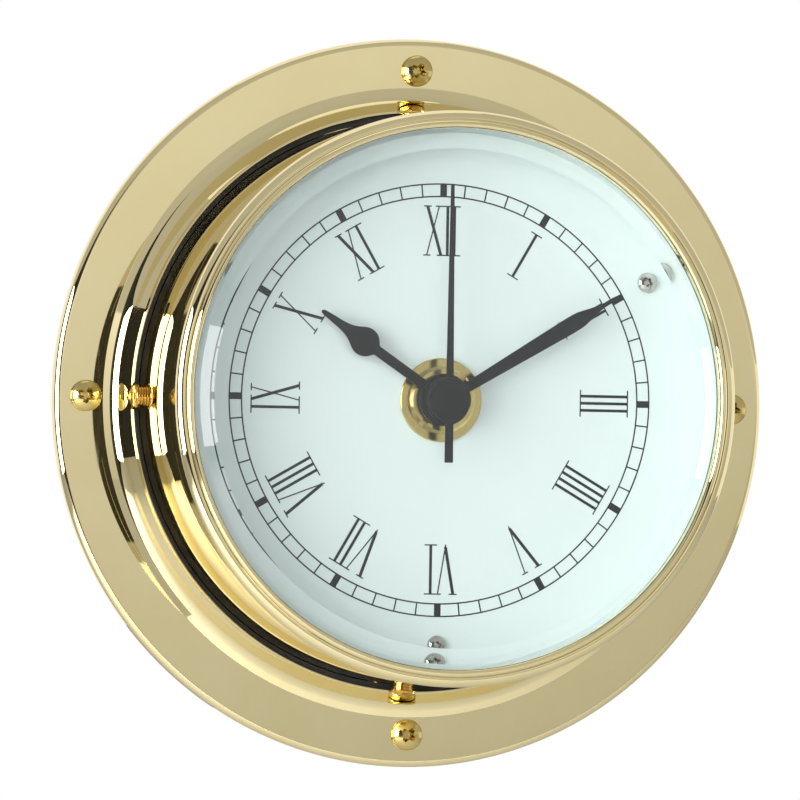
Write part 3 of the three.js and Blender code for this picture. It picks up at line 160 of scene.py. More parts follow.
class Bench:
    """Mesh work with Blender's own tools, one piece at a time."""

    def clear(self) -> None:
        """Leaves edit mode and deselects everything."""
        if bpy.context.mode != "OBJECT":
            bpy.ops.object.mode_set(mode="OBJECT")
        bpy.ops.object.select_all(action="DESELECT")

    def pick(self, piece: bpy.types.Object, *others: bpy.types.Object) -> None:
        """Selects pieces and makes the first one active.

        Args:
            piece: The piece that becomes active.
            *others: Pieces selected with it.
        """
        self.clear()
        for each in (piece, *others):
            each.select_set(True)
        bpy.context.view_layer.objects.active = piece

    def chain(self, name: str, points: Sequence[Vector], closed: bool = True) -> bpy.types.Object:
        """Draws a chain of edges and stays in edit mode with all of it selected.

        Args:
            name: Name of the new piece.
            points: Its corners, in metres.
            closed: Whether the last corner joins the first.

        Returns:
            The new piece.
        """
        self.clear()
        bpy.ops.mesh.primitive_plane_add(size=MM, enter_editmode=True, location=(0, 0, 0))
        piece = bpy.context.object
        piece.name = name
        bpy.ops.mesh.merge(type="CENTER")
        bpy.ops.transform.translate(value=points[0])
        path = list(points) + [points[0]] if closed else list(points)
        for start, end in pairwise(path):
            bpy.ops.mesh.extrude_vertices_move(TRANSFORM_OT_translate={"value": end - start})
        bpy.ops.mesh.select_all(action="SELECT")
        bpy.ops.mesh.remove_doubles(threshold=1e-7)
        return piece

    def merge(self, piece: bpy.types.Object) -> None:
        """Enters edit mode with all of a piece selected and merges its doubles.

        Args:
            piece: The piece.
        """
        self.pick(piece)
        bpy.ops.object.mode_set(mode="EDIT")
        bpy.ops.mesh.select_all(action="SELECT")
        bpy.ops.mesh.remove_doubles(threshold=BODY_MERGE)

    def finish_mesh(self, piece: bpy.types.Object, crease: float = SHARP_EDGE) -> bpy.types.Object:
        """Merges doubles, turns all faces outwards and sets the shading.

        Args:
            piece: The piece.
            crease: Angle in degrees above which an edge stays sharp.

        Returns:
            The same piece.
        """
        self.merge(piece)
        bpy.ops.mesh.normals_make_consistent(inside=False)
        bpy.ops.object.mode_set(mode="OBJECT")
        bpy.ops.object.shade_smooth_by_angle(angle=radians(crease))
        return piece

    def turned(
        self, name: str, section: Section, steps: int = CASE_STEPS, closed: bool = True,
        crease: float = SHARP_EDGE,
    ) -> bpy.types.Object:
        """Turns a section about the clock's axis.

        Args:
            name: Name of the new piece.
            section: Its half section. One that starts and ends on the axis isn't closed.
            steps: Number of steps in the full turn.
            closed: Whether the section's end joins its start.
            crease: Angle above which an edge stays sharp.

        Returns:
            The new piece.
        """
        outline = Section(list(section.points), section.guard)
        if closed:
            outline.to(section.points[0])
            outline.points.pop()
        points = [Vector((radius, -depth, 0)) * MM for radius, depth in outline.points]
        piece = self.chain(name, points, closed)
        bpy.ops.mesh.spin(steps=steps, angle=tau, center=(0, 0, 0), axis=(0, 1, 0))
        return self.finish_mesh(piece, crease)

    def drill(self, name: str, radius: float, back: float, front: float, steps: int) -> bpy.types.Object:
        """Makes a round bar on the clock's axis, between two depths, to cut a hole with."""
        section = Section().to((0, back), (radius, back), (radius, front), (0, front))
        return self.turned(name, section, steps, closed=False)

    def prism(self, name: str, points: Sequence[Vector], push: Triple) -> bpy.types.Object:
        """Draws a flat outline, pushes it into a body and stays in edit mode.

        Args:
            name: Name of the new piece.
            points: Corners of the outline, in metres.
            push: The push, in metres.

        Returns:
            The new piece.
        """
        piece = self.chain(name, points)
        bpy.ops.mesh.edge_face_add()
        bpy.ops.mesh.extrude_region_move(TRANSFORM_OT_translate={"value": push})
        return piece

    def slab(self, name: str, outline: Sequence[Point], back: float, front: float) -> bpy.types.Object:
        """Makes a flat piece between two depths, from corners to the right and up from the axis."""
        points = [Vector((right, -back, up)) * MM for right, up in outline]
        return self.finish_mesh(self.prism(name, points, (0, (back - front) * MM, 0)))

    def modified(self, piece: bpy.types.Object, kind: str, **settings: object) -> bpy.types.Object:
        """Adds a modifier and applies it.

        Args:
            piece: The piece.
            kind: Blender's name of the modifier.
            **settings: Its settings.

        Returns:
            The same piece.
        """
        self.pick(piece)
        bpy.ops.object.modifier_add(type=kind)
        modifier = piece.modifiers[-1]
        for key, value in settings.items():
            setattr(modifier, key, value)
        bpy.ops.object.modifier_apply(modifier=modifier.name)
        return piece

    def rounded(self, piece: bpy.types.Object, width: float) -> bpy.types.Object:
        """Rounds the sharp edges of a piece by a width in millimetres."""
        return self.modified(
            piece, "BEVEL", width=width * MM, segments=2, limit_method="ANGLE",
            angle_limit=radians(SHARP_EDGE), harden_normals=False,
        )

    def cut(self, piece: bpy.types.Object, *tools: bpy.types.Object) -> bpy.types.Object:
        """Cuts tools out of a piece and throws them away.

        Args:
            piece: The piece that is cut.
            *tools: The shapes that leave their hollow in it.

        Returns:
            The cut piece.
        """
        for tool in tools:
            self.modified(piece, "BOOLEAN", object=tool, operation="DIFFERENCE", solver="EXACT")
            bpy.data.objects.remove(tool)
        return self.finish_mesh(piece)

    def placed(self, piece: bpy.types.Object, matrix: Matrix) -> bpy.types.Object:
        """Moves a piece and puts its place into its mesh.

        Args:
            piece: The piece.
            matrix: Its move and turn.

        Returns:
            The same piece.
        """
        self.pick(piece)
        piece.matrix_world = matrix
        bpy.ops.object.transform_apply(location=True, rotation=True, scale=True)
        return piece

    def copied(self, piece: bpy.types.Object, name: str, matrix: Matrix) -> bpy.types.Object:
        """Copies a piece with a mesh of its own.

        Args:
            piece: The piece to copy.
            name: Name of the copy.
            matrix: Move and turn of the copy.

        Returns:
            The copy.
        """
        self.pick(piece)
        bpy.ops.object.duplicate(linked=False)
        copy = bpy.context.object
        copy.name = name
        return self.placed(copy, matrix)

    def joined(self, pieces: Sequence[bpy.types.Object], name: str) -> bpy.types.Object:
        """Joins pieces into one.

        Args:
            pieces: The pieces.
            name: Name of the whole.

        Returns:
            The joined piece.
        """
        self.pick(*pieces)
        bpy.ops.object.join()
        whole = bpy.context.object
        whole.name = name
        return whole

    def thrown_away(self, *pieces: bpy.types.Object) -> None:
        """Removes patterns that were only there to be copied."""
        for piece in pieces:
            bpy.data.objects.remove(piece)

    def screw_thread(
        self, name: str, root: float, crest: float, pitch: float, turns: int, start: float,
    ) -> bpy.types.Object:
        """Winds a closed thread round the clock's axis.

        Args:
            name: Name of the new piece.
            root: Radius at the bottom of the thread.
            crest: Radius at its top.
            pitch: Distance from one turn to the next.
            turns: Number of turns.
            start: Depth at which it starts.

        Returns:
            The thread, as a closed body.
        """
        flank = ((root, 0.0), (root, 0.12), (crest, 0.44), (crest, 0.56), (root, 0.88), (root, 1.0))
        points = [Vector((radius, -start - share * pitch, 0)) * MM for radius, share in flank]
        piece = self.chain(name, points, closed=False)
        bpy.ops.object.mode_set(mode="OBJECT")
        self.modified(
            piece, "SCREW", axis="Y", angle=tau, screw_offset=-pitch * MM, iterations=turns,
            steps=THREAD_STEPS, render_steps=THREAD_STEPS, use_merge_vertices=True,
            merge_threshold=BODY_MERGE,
        )
        self.merge(piece)
        bpy.ops.mesh.select_all(action="DESELECT")
        bpy.ops.mesh.select_non_manifold()
        bpy.ops.mesh.edge_face_add()
        bpy.ops.object.mode_set(mode="OBJECT")
        return self.finish_mesh(piece, THREAD_CREASE)


bench = Bench()


class Slot(Enum):
    """Material slots of the record that pieces take their finish from."""

    CASE = "case_brass"
    STUD = "stud_brass"
    TURNED = "turned_brass"
    STEEL = "bright_steel"
    IRON = "soft_iron"
    COPPER = "copper_wire"
    GLASS = "clear_glass"
    DIAL = "dial_white"
    HAND = "hand_black"
    RUBBER = "gasket_rubber"
    HOUSING = "housing_plastic"
    WHEEL = "wheel_plastic"
    BOARD = "board_green"
    CHIP = "chip_black"
    BATTERY = "battery_jacket"


class Graph:
    """Node tree that is written in short steps."""

    def __init__(self, tree: bpy.types.NodeTree) -> None:
        """Holds the tree with its nodes and links."""
        self.tree, self.nodes, self.links = tree, tree.nodes, tree.links

    def add(
        self, kind: str, values: dict[str | int, object] | None = None, **settings: object,
    ) -> bpy.types.Node:
        """Adds a node.

        Args:
            kind: Blender's name of the node, without ShaderNode.
            values: For each input its value, or the output that is linked to it.
            **settings: Settings of the node itself.

        Returns:
            The node.
        """
        node = self.nodes.new(f"ShaderNode{kind}")
        for key, value in settings.items():
            setattr(node, key, value)
        for key, value in (values or {}).items():
            if isinstance(value, bpy.types.NodeSocket):
                self.links.new(value, node.inputs[key])
            else:
                node.inputs[key].default_value = value
        return node

    def math(self, operation: str, first: object, second: object, **settings: object) -> bpy.types.NodeSocket:
        """Combines two values and gives the result."""
        return self.add("Math", {0: first, 1: second}, operation=operation, **settings).outputs["Value"]

    def spread(self, value: object, low: float, high: float, *ends: object) -> bpy.types.NodeSocket:
        """Maps a value from the range low to high to the range of the two ends."""
        values = {"Value": value, "From Min": low, "From Max": high, "To Min": ends[0], "To Max": ends[1]}
        return self.add("MapRange", values).outputs["Result"]

    def place(self) -> bpy.types.NodeSocket:
        """Gives the object coordinates."""
        return self.add("TexCoord").outputs["Object"]


class GroupKit:
    """Shader node groups that several finishes share."""

    def __init__(self) -> None:
        """Builds each group once."""
        self.cloud = self.make_cloud()
        self.scratches = self.make_scratches()

    def start(
        self, name: str, inputs: dict[str, float], output: str,
    ) -> tuple[Graph, bpy.types.Node, bpy.types.Node]:
        """Makes an empty group.

        Args:
            name: Name of the group.
            inputs: Names and default values of its inputs.
            output: Name of its output.

        Returns:
            The group's graph and its two end nodes.
        """
        group = bpy.data.node_groups.new(name, "ShaderNodeTree")
        for key, value in inputs.items():
            socket = group.interface.new_socket(name=key, in_out="INPUT", socket_type="NodeSocketFloat")
            socket.default_value = value
        group.interface.new_socket(name=output, in_out="OUTPUT", socket_type="NodeSocketFloat")
        return Graph(group), group.nodes.new("NodeGroupInput"), group.nodes.new("NodeGroupOutput")

    def make_cloud(self) -> bpy.types.NodeTree:
        """Builds soft patches: a value between Low and High that changes slowly over the surface.

        Returns:
            The group.
        """
        graph, given, result = self.start("Soft Patches", {"Size": 60.0, "Low": 0.0, "High": 1.0}, "Value")
        size, low, high = (given.outputs[name] for name in ("Size", "Low", "High"))
        noise = graph.add("TexNoise", {"Vector": graph.place(), "Scale": size, "Detail": 4, "Roughness": 0.6})
        graph.links.new(graph.spread(noise.outputs["Fac"], 0.35, 0.65, low, high), result.inputs["Value"])
        return graph.tree

    def make_scratches(self) -> bpy.types.NodeTree:
        """Builds hair scratches in two crossing directions: a mask that is Share on a scratch.

        Returns:
            The group.
        """
        graph, given, result = self.start("Hair Scratches", {"Size": 900.0, "Share": 0.1}, "Mask")
        place, size = graph.place(), given.outputs["Size"]
        masks = []
        for turn in (25.0, -60.0):
            stretch = {"Vector": place, "Rotation": (0, radians(turn), 0), "Scale": (1.0, 0.2, 0.03)}
            lines = graph.add("Mapping", stretch).outputs["Vector"]
            noise = graph.add("TexNoise", {"Vector": lines, "Scale": size, "Detail": 1})
            masks.append(graph.spread(noise.outputs["Fac"], 0.68, 0.74, 0.0, 1.0))
        mask = graph.math("MULTIPLY", graph.math("MAXIMUM", *masks), given.outputs["Share"])
        graph.links.new(mask, result.inputs["Mask"])
        return graph.tree


class Recipe(Graph):
    """Node tree of one material while it is put together."""

    def __init__(self, name: str) -> None:
        """Starts a material with a plain surface shader.

        Args:
            name: Name of the material.
        """
        self.material = bpy.data.materials.new(name)
        self.material.use_nodes = True
        super().__init__(self.material.node_tree)
        self.shader = self.nodes["Principled BSDF"]

    def set(self, **values: object) -> None:
        """Sets sockets of the surface shader, named with underscores for spaces."""
        for key, value in values.items():
            self.shader.inputs[key.replace("_", " ")].default_value = value

    def group(self, tree: bpy.types.NodeTree, **values: float) -> bpy.types.NodeSocket:
        """Places a shared group with values of its inputs and gives its output."""
        return self.add("Group", values, node_tree=tree).outputs[0]

    def feed(self, source: bpy.types.NodeSocket, socket: str) -> None:
        """Links an output to a socket of the surface shader."""
        self.links.new(source, self.shader.inputs[socket])

    def stain(self, mask: bpy.types.NodeSocket, first: Triple, second: Triple) -> None:
        """Colours the surface with a first colour, and a second one where the mask is 1."""
        values = {"Factor": mask, "A": (*first, 1), "B": (*second, 1)}
        self.feed(self.add("Mix", values, data_type="RGBA").outputs["Result"], "Base Color")

    def bump(self, height: bpy.types.NodeSocket, rise: float) -> None:
        """Raises the surface by a height from 0 to 1, whose full rise is in millimetres."""
        values = {"Height": height, "Distance": rise * MM, "Strength": 1.0}
        self.feed(self.add("Bump", values).outputs["Normal"], "Normal")


@dataclass(frozen=True)
class MetalFinish:
    """A bare or lacquered metal.

    Attributes:
        name: Name of the material.
        colour: Colour of its reflections.
        tarnish: Colour of the slightly dull patches.
        polished: Lowest roughness.
        dull: Highest roughness.
        patch: Noise scale of the patches.
        scratched: Roughness that a hair scratch adds.
        dull_scale: Noise scale of the roughness, as a share of the patches'.
    """

    name: str
    colour: Triple
    tarnish: Triple
    polished: float = 0.06
    dull: float = 0.1
    patch: float = 60
    scratched: float = 0.05
    dull_scale: float = 2.3

    def material(self, kit: GroupKit) -> bpy.types.Material:
        """Builds the material.

        Args:
            kit: The shared node groups.

        Returns:
            The material.
        """
        recipe = Recipe(self.name)
        recipe.set(Metallic=1.0)
        recipe.stain(recipe.group(kit.cloud, Size=self.patch, Low=0.0, High=1.0), self.colour, self.tarnish)
        dullness = recipe.group(
            kit.cloud, Size=self.patch * self.dull_scale, Low=self.polished, High=self.dull,
        )
        scratches = recipe.group(kit.scratches, Share=self.scratched)
        recipe.feed(recipe.math("ADD", dullness, scratches), "Roughness")
        return recipe.material


@dataclass(frozen=True)
class SolidFinish:
    """Paint, moulded plastic, rubber or a printed jacket.

    Attributes:
        name: Name of the material.
        colour: Its colour.
        shade: Colour of its darker patches.
        smooth: Lowest roughness.
        rough: Highest roughness.
        patch: Noise scale of the patches.
        grain: Noise scale of the fine grain.
        relief: Height of the grain, in millimetres.
        coat: Weight of a clear coat.
        sheen: Level of its mirror-like reflection, where 0.5 is plain.
        gloss_scale: Noise scale of the roughness, as a share of the patches'.
    """

    name: str
    colour: Triple
    shade: Triple
    smooth: float = 0.35
    rough: float = 0.5
    patch: float = 80
    grain: float = 3000
    relief: float = 0.005
    coat: float = 0.0
    sheen: float = 0.5
    gloss_scale: float = 3

    def material(self, kit: GroupKit) -> bpy.types.Material:
        """Builds the material.

        Args:
            kit: The shared node groups.

        Returns:
            The material.
        """
        recipe = Recipe(self.name)
        recipe.set(Metallic=0.0, Coat_Weight=self.coat, Specular_IOR_Level=self.sheen)
        recipe.stain(recipe.group(kit.cloud, Size=self.patch, Low=0.0, High=1.0), self.colour, self.shade)
        gloss = recipe.group(
            kit.cloud, Size=self.patch * self.gloss_scale, Low=self.smooth, High=self.rough,
        )
        recipe.feed(gloss, "Roughness")
        recipe.bump(recipe.group(kit.cloud, Size=self.grain, Low=0.0, High=1.0), self.relief)
        return recipe.material


@dataclass(frozen=True)
class GlassFinish:
    """Clear glass.

    Attributes:
        name: Name of the material.
        colour: Tint of the light that passes.
        ior: Index of refraction.
        wipe: Noise scale of the wipe marks.
        wipe_dull: Roughness of the wipe marks.
    """

    name: str
    colour: Triple
    ior: float = 1.5
    wipe: float = 25.0
    wipe_dull: float = 0.012

    def material(self, kit: GroupKit) -> bpy.types.Material:
        """Builds the material.

        Args:
            kit: The shared node groups.

        Returns:
            The material.
        """
        recipe = Recipe(self.name)
        tint = (*self.colour, 1)
        recipe.set(Metallic=0.0, Transmission_Weight=1.0, IOR=self.ior, Base_Color=tint)
        recipe.feed(recipe.group(kit.cloud, Size=self.wipe, Low=0.0, High=self.wipe_dull), "Roughness")
        shadow = recipe.add("LightPath").outputs["Is Shadow Ray"]
        clear = recipe.add("BsdfTransparent", {"Color": tint}).outputs["BSDF"]
        blend = recipe.add("MixShader", {"Fac": shadow, 1: recipe.shader.outputs["BSDF"], 2: clear})
        recipe.links.new(blend.outputs["Shader"], recipe.nodes["Material Output"].inputs["Surface"])
        return recipe.material


FINISHES: dict[Slot, MetalFinish | SolidFinish | GlassFinish] = {
    Slot.CASE: MetalFinish(
        "Polished brass", (0.885, 0.77, 0.44), (0.87, 0.745, 0.41),
        polished=0.012, dull=0.028, scratched=0.03,
    ),
    Slot.STUD: MetalFinish(
        "Golden stud brass", (0.72, 0.47, 0.13), (0.62, 0.38, 0.09), polished=0.12, dull=0.2, patch=300,
    ),
    Slot.TURNED: MetalFinish(
        "Turned brass", (0.70, 0.56, 0.22), (0.62, 0.48, 0.17), polished=0.12, dull=0.2, patch=200,
    ),
    Slot.STEEL: MetalFinish(
        "Bright steel", (0.62, 0.61, 0.57), (0.52, 0.51, 0.47), polished=0.05, dull=0.1, patch=250,
    ),
    Slot.IRON: MetalFinish(
        "Soft iron", (0.36, 0.37, 0.38), (0.30, 0.30, 0.31), polished=0.35, dull=0.5, patch=200,
    ),
    Slot.COPPER: MetalFinish(
        "Copper wire", (0.62, 0.25, 0.09), (0.50, 0.18, 0.06), polished=0.2, dull=0.32, patch=300,
    ),
    Slot.GLASS: GlassFinish("Clear glass", (0.965, 0.985, 0.98)),
    Slot.DIAL: SolidFinish(
        "Dial enamel", (0.545, 0.61, 0.60), (0.535, 0.60, 0.59), smooth=0.4, rough=0.5, relief=0.001,
    ),
    Slot.HAND: SolidFinish(
        "Hand black", (0.004, 0.006, 0.006), (0.006, 0.008, 0.008), rough=0.6, sheen=0.1, relief=0.002,
    ),
    Slot.RUBBER: SolidFinish("Gasket rubber", (0.02, 0.02, 0.02), (0.03, 0.03, 0.03), smooth=0.6, rough=0.8),
    Slot.HOUSING: SolidFinish(
        "Moulded black plastic", (0.02, 0.021, 0.024), (0.028, 0.029, 0.032), relief=0.01,
    ),
    Slot.WHEEL: SolidFinish("Wheel plastic", (0.74, 0.71, 0.62), (0.68, 0.65, 0.56), relief=0.003),
    Slot.BOARD: SolidFinish("Board green", (0.02, 0.14, 0.06), (0.015, 0.11, 0.045), smooth=0.25, rough=0.4),
    Slot.CHIP: SolidFinish("Chip black", (0.02, 0.02, 0.022), (0.03, 0.03, 0.032), smooth=0.5, rough=0.6),
    Slot.BATTERY: SolidFinish(
        "Battery jacket", (0.05, 0.08, 0.14), (0.045, 0.07, 0.12), smooth=0.22, rough=0.32, coat=0.3,
    ),
}


class Finisher:
    """Gives pieces their material, slot, body and CAD nodes."""

    def __init__(self) -> None:
        """Builds every finish."""
        kit = GroupKit()
        self.materials = {slot: finish.material(kit) for slot, finish in FINISHES.items()}

    def paint(self, piece: bpy.types.Object, material: bpy.types.Material) -> None:
        """Puts one material on all of a piece."""
        piece.data.materials.clear()
        piece.data.materials.append(material)

    def dress(self, piece: bpy.types.Object, slot: Slot, body: str, *nodes: str) -> bpy.types.Object:
        """Finishes a new piece.

        Args:
            piece: The piece.
            slot: The slot that its finish comes from.
            body: The CAD body that it rides on.
            *nodes: The CAD nodes that it stands for.

        Returns:
            The same piece.
        """
        self.paint(piece, self.materials[slot])
        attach(piece, body)
        if nodes:
            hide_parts(*nodes)
        log.info("%s: %d faces, on %s", piece.name, len(piece.data.polygons), body)
        return piece

    def dress_copies(
        self, pattern: bpy.types.Object, name: str, places: Sequence[Matrix], slot: Slot, body: str,
    ) -> None:
        """Dresses a numbered copy of a pattern at each place and throws the pattern away.

        Args:
            pattern: The pattern, on the clock's axis.
            name: Name of the CAD nodes, without their number.
            places: Place of each copy.
            slot: The slot that their finish comes from.
            body: The CAD body that they ride on.
        """
        for number, place in enumerate(places, 1):
            copy = bench.copied(pattern, f"{name}_{number}_turned", place)
            self.dress(copy, slot, body, f"{name}_{number}")
        bench.thrown_away(pattern)

    def dress_nodes(self) -> None:
        """Gives every CAD node the finish of its slot in the record."""
        for part in frame["record"]["subparts"]:
            self.paint(frame["nodes"][part["node"]], self.materials[Slot(part["material_slot"])])


@dataclass
class BaseRing:
    """The flange, shoulder and rim that the clock stands in, with its four mounting screws."""

    flange_radius: float = 75.7
    flange_front: float = 3.25
    lip: float = 1.4
    back_chamfer: float = 0.5
    dish_radius: float = 65.4
    dish_depth: float = 0.15
    cove_start: float = 64.55
    cove_radius: float = 2.9
    cove_lead: float = 10
    cove_turn: float = 55
    rim_radius: float = 60.35
    rim_height: float = 8.9
    rim_round: float = 0.15
    rim_wall: float = 0.4
    rebate_depth: float = 3.5
    # Sizes of the black lining that paints shade into the gap behind the rim.
    shade_lining_gap: float = 0.06
    shade_lining_front: float = 6.2
    bore: float = 58.85
    ledge_radius: float = 55.65
    ledge_thickness: float = 1.2
    notch_half: float = 2.85
    notch_depth: float = 9.4
    notch_end: float = 61.3
    tool_margin: float = 1
    screw_circle: float = 69.0
    hole_radius: float = 2.1
    hole_front: float = 6
    screw_turns: tuple[float, ...] = (30, 12, 38, 20)

    def build_ring(self) -> bpy.types.Object:
        """Turns the ring and cuts its notches and screw holes.

        Returns:
            The new piece.
        """
        front, cove, turn = self.flange_front, self.cove_radius, radians(self.cove_turn)
        section = Section()
        section.to((self.ledge_radius, 0), (self.flange_radius - self.back_chamfer, 0))
        section.to((self.flange_radius, self.back_chamfer))
        section.arc((self.flange_radius - self.lip, front - self.lip), self.lip, self.lip, 0, 90, 16)
        section.to((self.dish_radius, front - self.dish_depth))
        first, last = 270 - self.cove_lead, 270 - self.cove_turn
        section.arc((self.cove_start, front + cove), cove, cove, first, last, 20)
        foot = self.cove_start - cove * sin(turn)
        height = front + cove * (1 - cos(turn))
        section.to((self.rim_radius, height + (foot - self.rim_radius) * tan(turn)))
        rounding = self.rim_round
        section.arc((self.rim_radius - rounding, self.rim_height - rounding), rounding, rounding, 0, 90, 6)
        inside = self.rim_radius - self.rim_wall
        section.to((inside, self.rim_height), (inside, self.rebate_depth))
        section.to((self.bore, self.rebate_depth))
        section.to((self.bore, self.ledge_thickness), (self.ledge_radius, self.ledge_thickness))
        ring = bench.turned("base_ring_turned", section)
        tools = [self.notch_tool(angle) for angle in STUD_ANGLES]
        tools += [self.hole_tool(angle) for angle in MOUNTING_ANGLES]
        return bench.cut(ring, *tools)

    def build_shade_lining(self) -> bpy.types.Object:
        """Turns a black lining between the rim and the drum, a painted shade that darkens the gap there.

        Returns:
            The new piece.
        """
        outer = self.rim_radius - self.rim_wall - self.shade_lining_gap
        inner = self.bore - self.shade_lining_gap * 4
        back = self.rebate_depth + self.shade_lining_gap
        section = Section().to((inner, back), (outer, back))
        section.to((outer, self.shade_lining_front), (inner, self.shade_lining_front))
        return bench.turned("rim_shade_lining", section)

    def notch_tool(self, angle: float) -> bpy.types.Object:
        """Makes the shape of one notch, a round pocket open to the front.

        Args:
            angle: Clockwise angle from 12, in degrees.

        Returns:
            The new piece.
        """
        half, start = self.notch_half, self.bore - self.tool_margin
        outline = [(right, -self.notch_depth - up) for right, up in lower_half(half, 16)]
        outline += [(side, -self.notch_depth - half * 2) for side in (half, -half)]
        points = [Vector((right, along, start)) * MM for right, along in outline]
        tool = bench.prism("notch_tool", points, (0, 0, (self.notch_end - start) * MM))
        return bench.placed(bench.finish_mesh(tool), dial_turn(angle))

    def hole_tool(self, angle: float) -> bpy.types.Object:
        """Makes the shape of one screw hole."""
        tool = bench.drill("hole_tool", self.hole_radius, -self.tool_margin, self.hole_front, SMALL_STEPS)
        return bench.placed(tool, Matrix.Translation(on_dial(angle, self.screw_circle)))

    def build(self, finisher: Finisher) -> None:
        """Builds and dresses the ring and its screws.

        Args:
            finisher: Gives each piece its finish, its body and its CAD node.
        """
        finisher.dress(self.build_ring(), Slot.CASE, "base", "base_ring")
        # A black lining in the gap behind the rim: painted shade, not a part of the clock.
        finisher.dress(self.build_shade_lining(), Slot.RUBBER, "base")
        pattern = MountingScrew(seat=self.flange_front).build()
        places = screw_places(MOUNTING_ANGLES, self.screw_circle, self.screw_turns)
        finisher.dress_copies(pattern, "mounting_screw", places, Slot.TURNED, "base")


@dataclass
class CrossHead:
    """A domed screw head with a cross recess, on the clock's axis.

    Attributes:
        seat: Depth of the face that the head sits on.
        radius: Radius of the head.
        height: Height of the head.
        edge: Height of its straight edge.
        arm: Half length of the recess's arms.
        arm_width: Half width of the arms.
        recess: Depth of the recess.
        taper: Size of the recess's floor, as a share of its mouth.
        corner: Reach of the cross's inner corners, as a share of the arms' half width.
        overshoot: Height of the cutting tool above the head.
    """

    seat: float
    radius: float
    height: float
    edge: float
    arm: float
    arm_width: float
    recess: float
    taper: float = 0.42
    corner: float = 1.35
    overshoot: float = 0.3

    def recess_tool(self) -> bpy.types.Object:
        """Makes the tapered cross that the recess is cut with.

        Returns:
            The new piece.
        """
        arm, half, corner = self.arm, self.arm_width, self.arm_width * self.corner
        points = []
        for turn in range(4):
            for right, up in ((half, arm), (corner, corner), (arm, half)):
                for _ in range(turn):
                    right, up = up, -right
                points.append(Vector((right, -self.seat - self.height - self.overshoot, up)) * MM)
        tool = bench.prism("recess_tool", points, (0, (self.recess + self.overshoot) * MM, 0))
        bpy.ops.transform.resize(value=(self.taper, 1, self.taper))
        return bench.finish_mesh(tool)

    def build(self, name: str, shank: list[Point]) -> bpy.types.Object:
        """Builds the whole screw.

        Args:
            name: Name of the piece.
            shank: Section points from the tip on the axis to the seat.

        Returns:
            The screw on the clock's axis.
        """
        section = Section(guard=0.03).to(*shank)
        section.to((self.radius - 0.15, self.seat), (self.radius, self.seat + 0.12))
        section.arc((0, self.seat + self.edge), self.radius, self.height - self.edge, 3, 90, 14)
        section.points[-1] = (0, self.seat + self.height)
        head = bench.turned(name, section, SMALL_STEPS, closed=False)
        return bench.cut(head, self.recess_tool())


@dataclass
class MountingScrew:
    """One of the screws that hold the base ring to the wall."""

    seat: float
    radius: float = 3.25
    height: float = 2.0
    shank_radius: float = 1.75
    length: float = 18
    point: float = 3
    pitch: float = 1.2
    root_share: float = 0.78
    neck: float = 3
    neck_taper: float = 0.4

    def build(self) -> bpy.types.Object:
        """Builds the head with its shank and thread.

        Returns:
            The new piece.
        """
        tip = self.seat - self.length
        root = self.shank_radius * self.root_share
        shank = [(0, tip), (root, tip + self.point), (root, self.seat - self.neck)]
        shank.append((self.shank_radius, self.seat - self.neck + self.neck_taper))
        shank.append((self.shank_radius, self.seat))
        head = CrossHead(self.seat, self.radius, self.height, 0.45, 1.85, 0.52, 1.7)
        screw = head.build("mounting_screw_pattern", shank)
        turns = int((self.length - self.point - 4) / self.pitch)
        thread = bench.screw_thread(
            "mounting_thread", root - 0.15, self.shank_radius, self.pitch, turns, tip + self.point + 0.2,
        )
        return bench.joined([screw, thread], "mounting_screw_pattern")


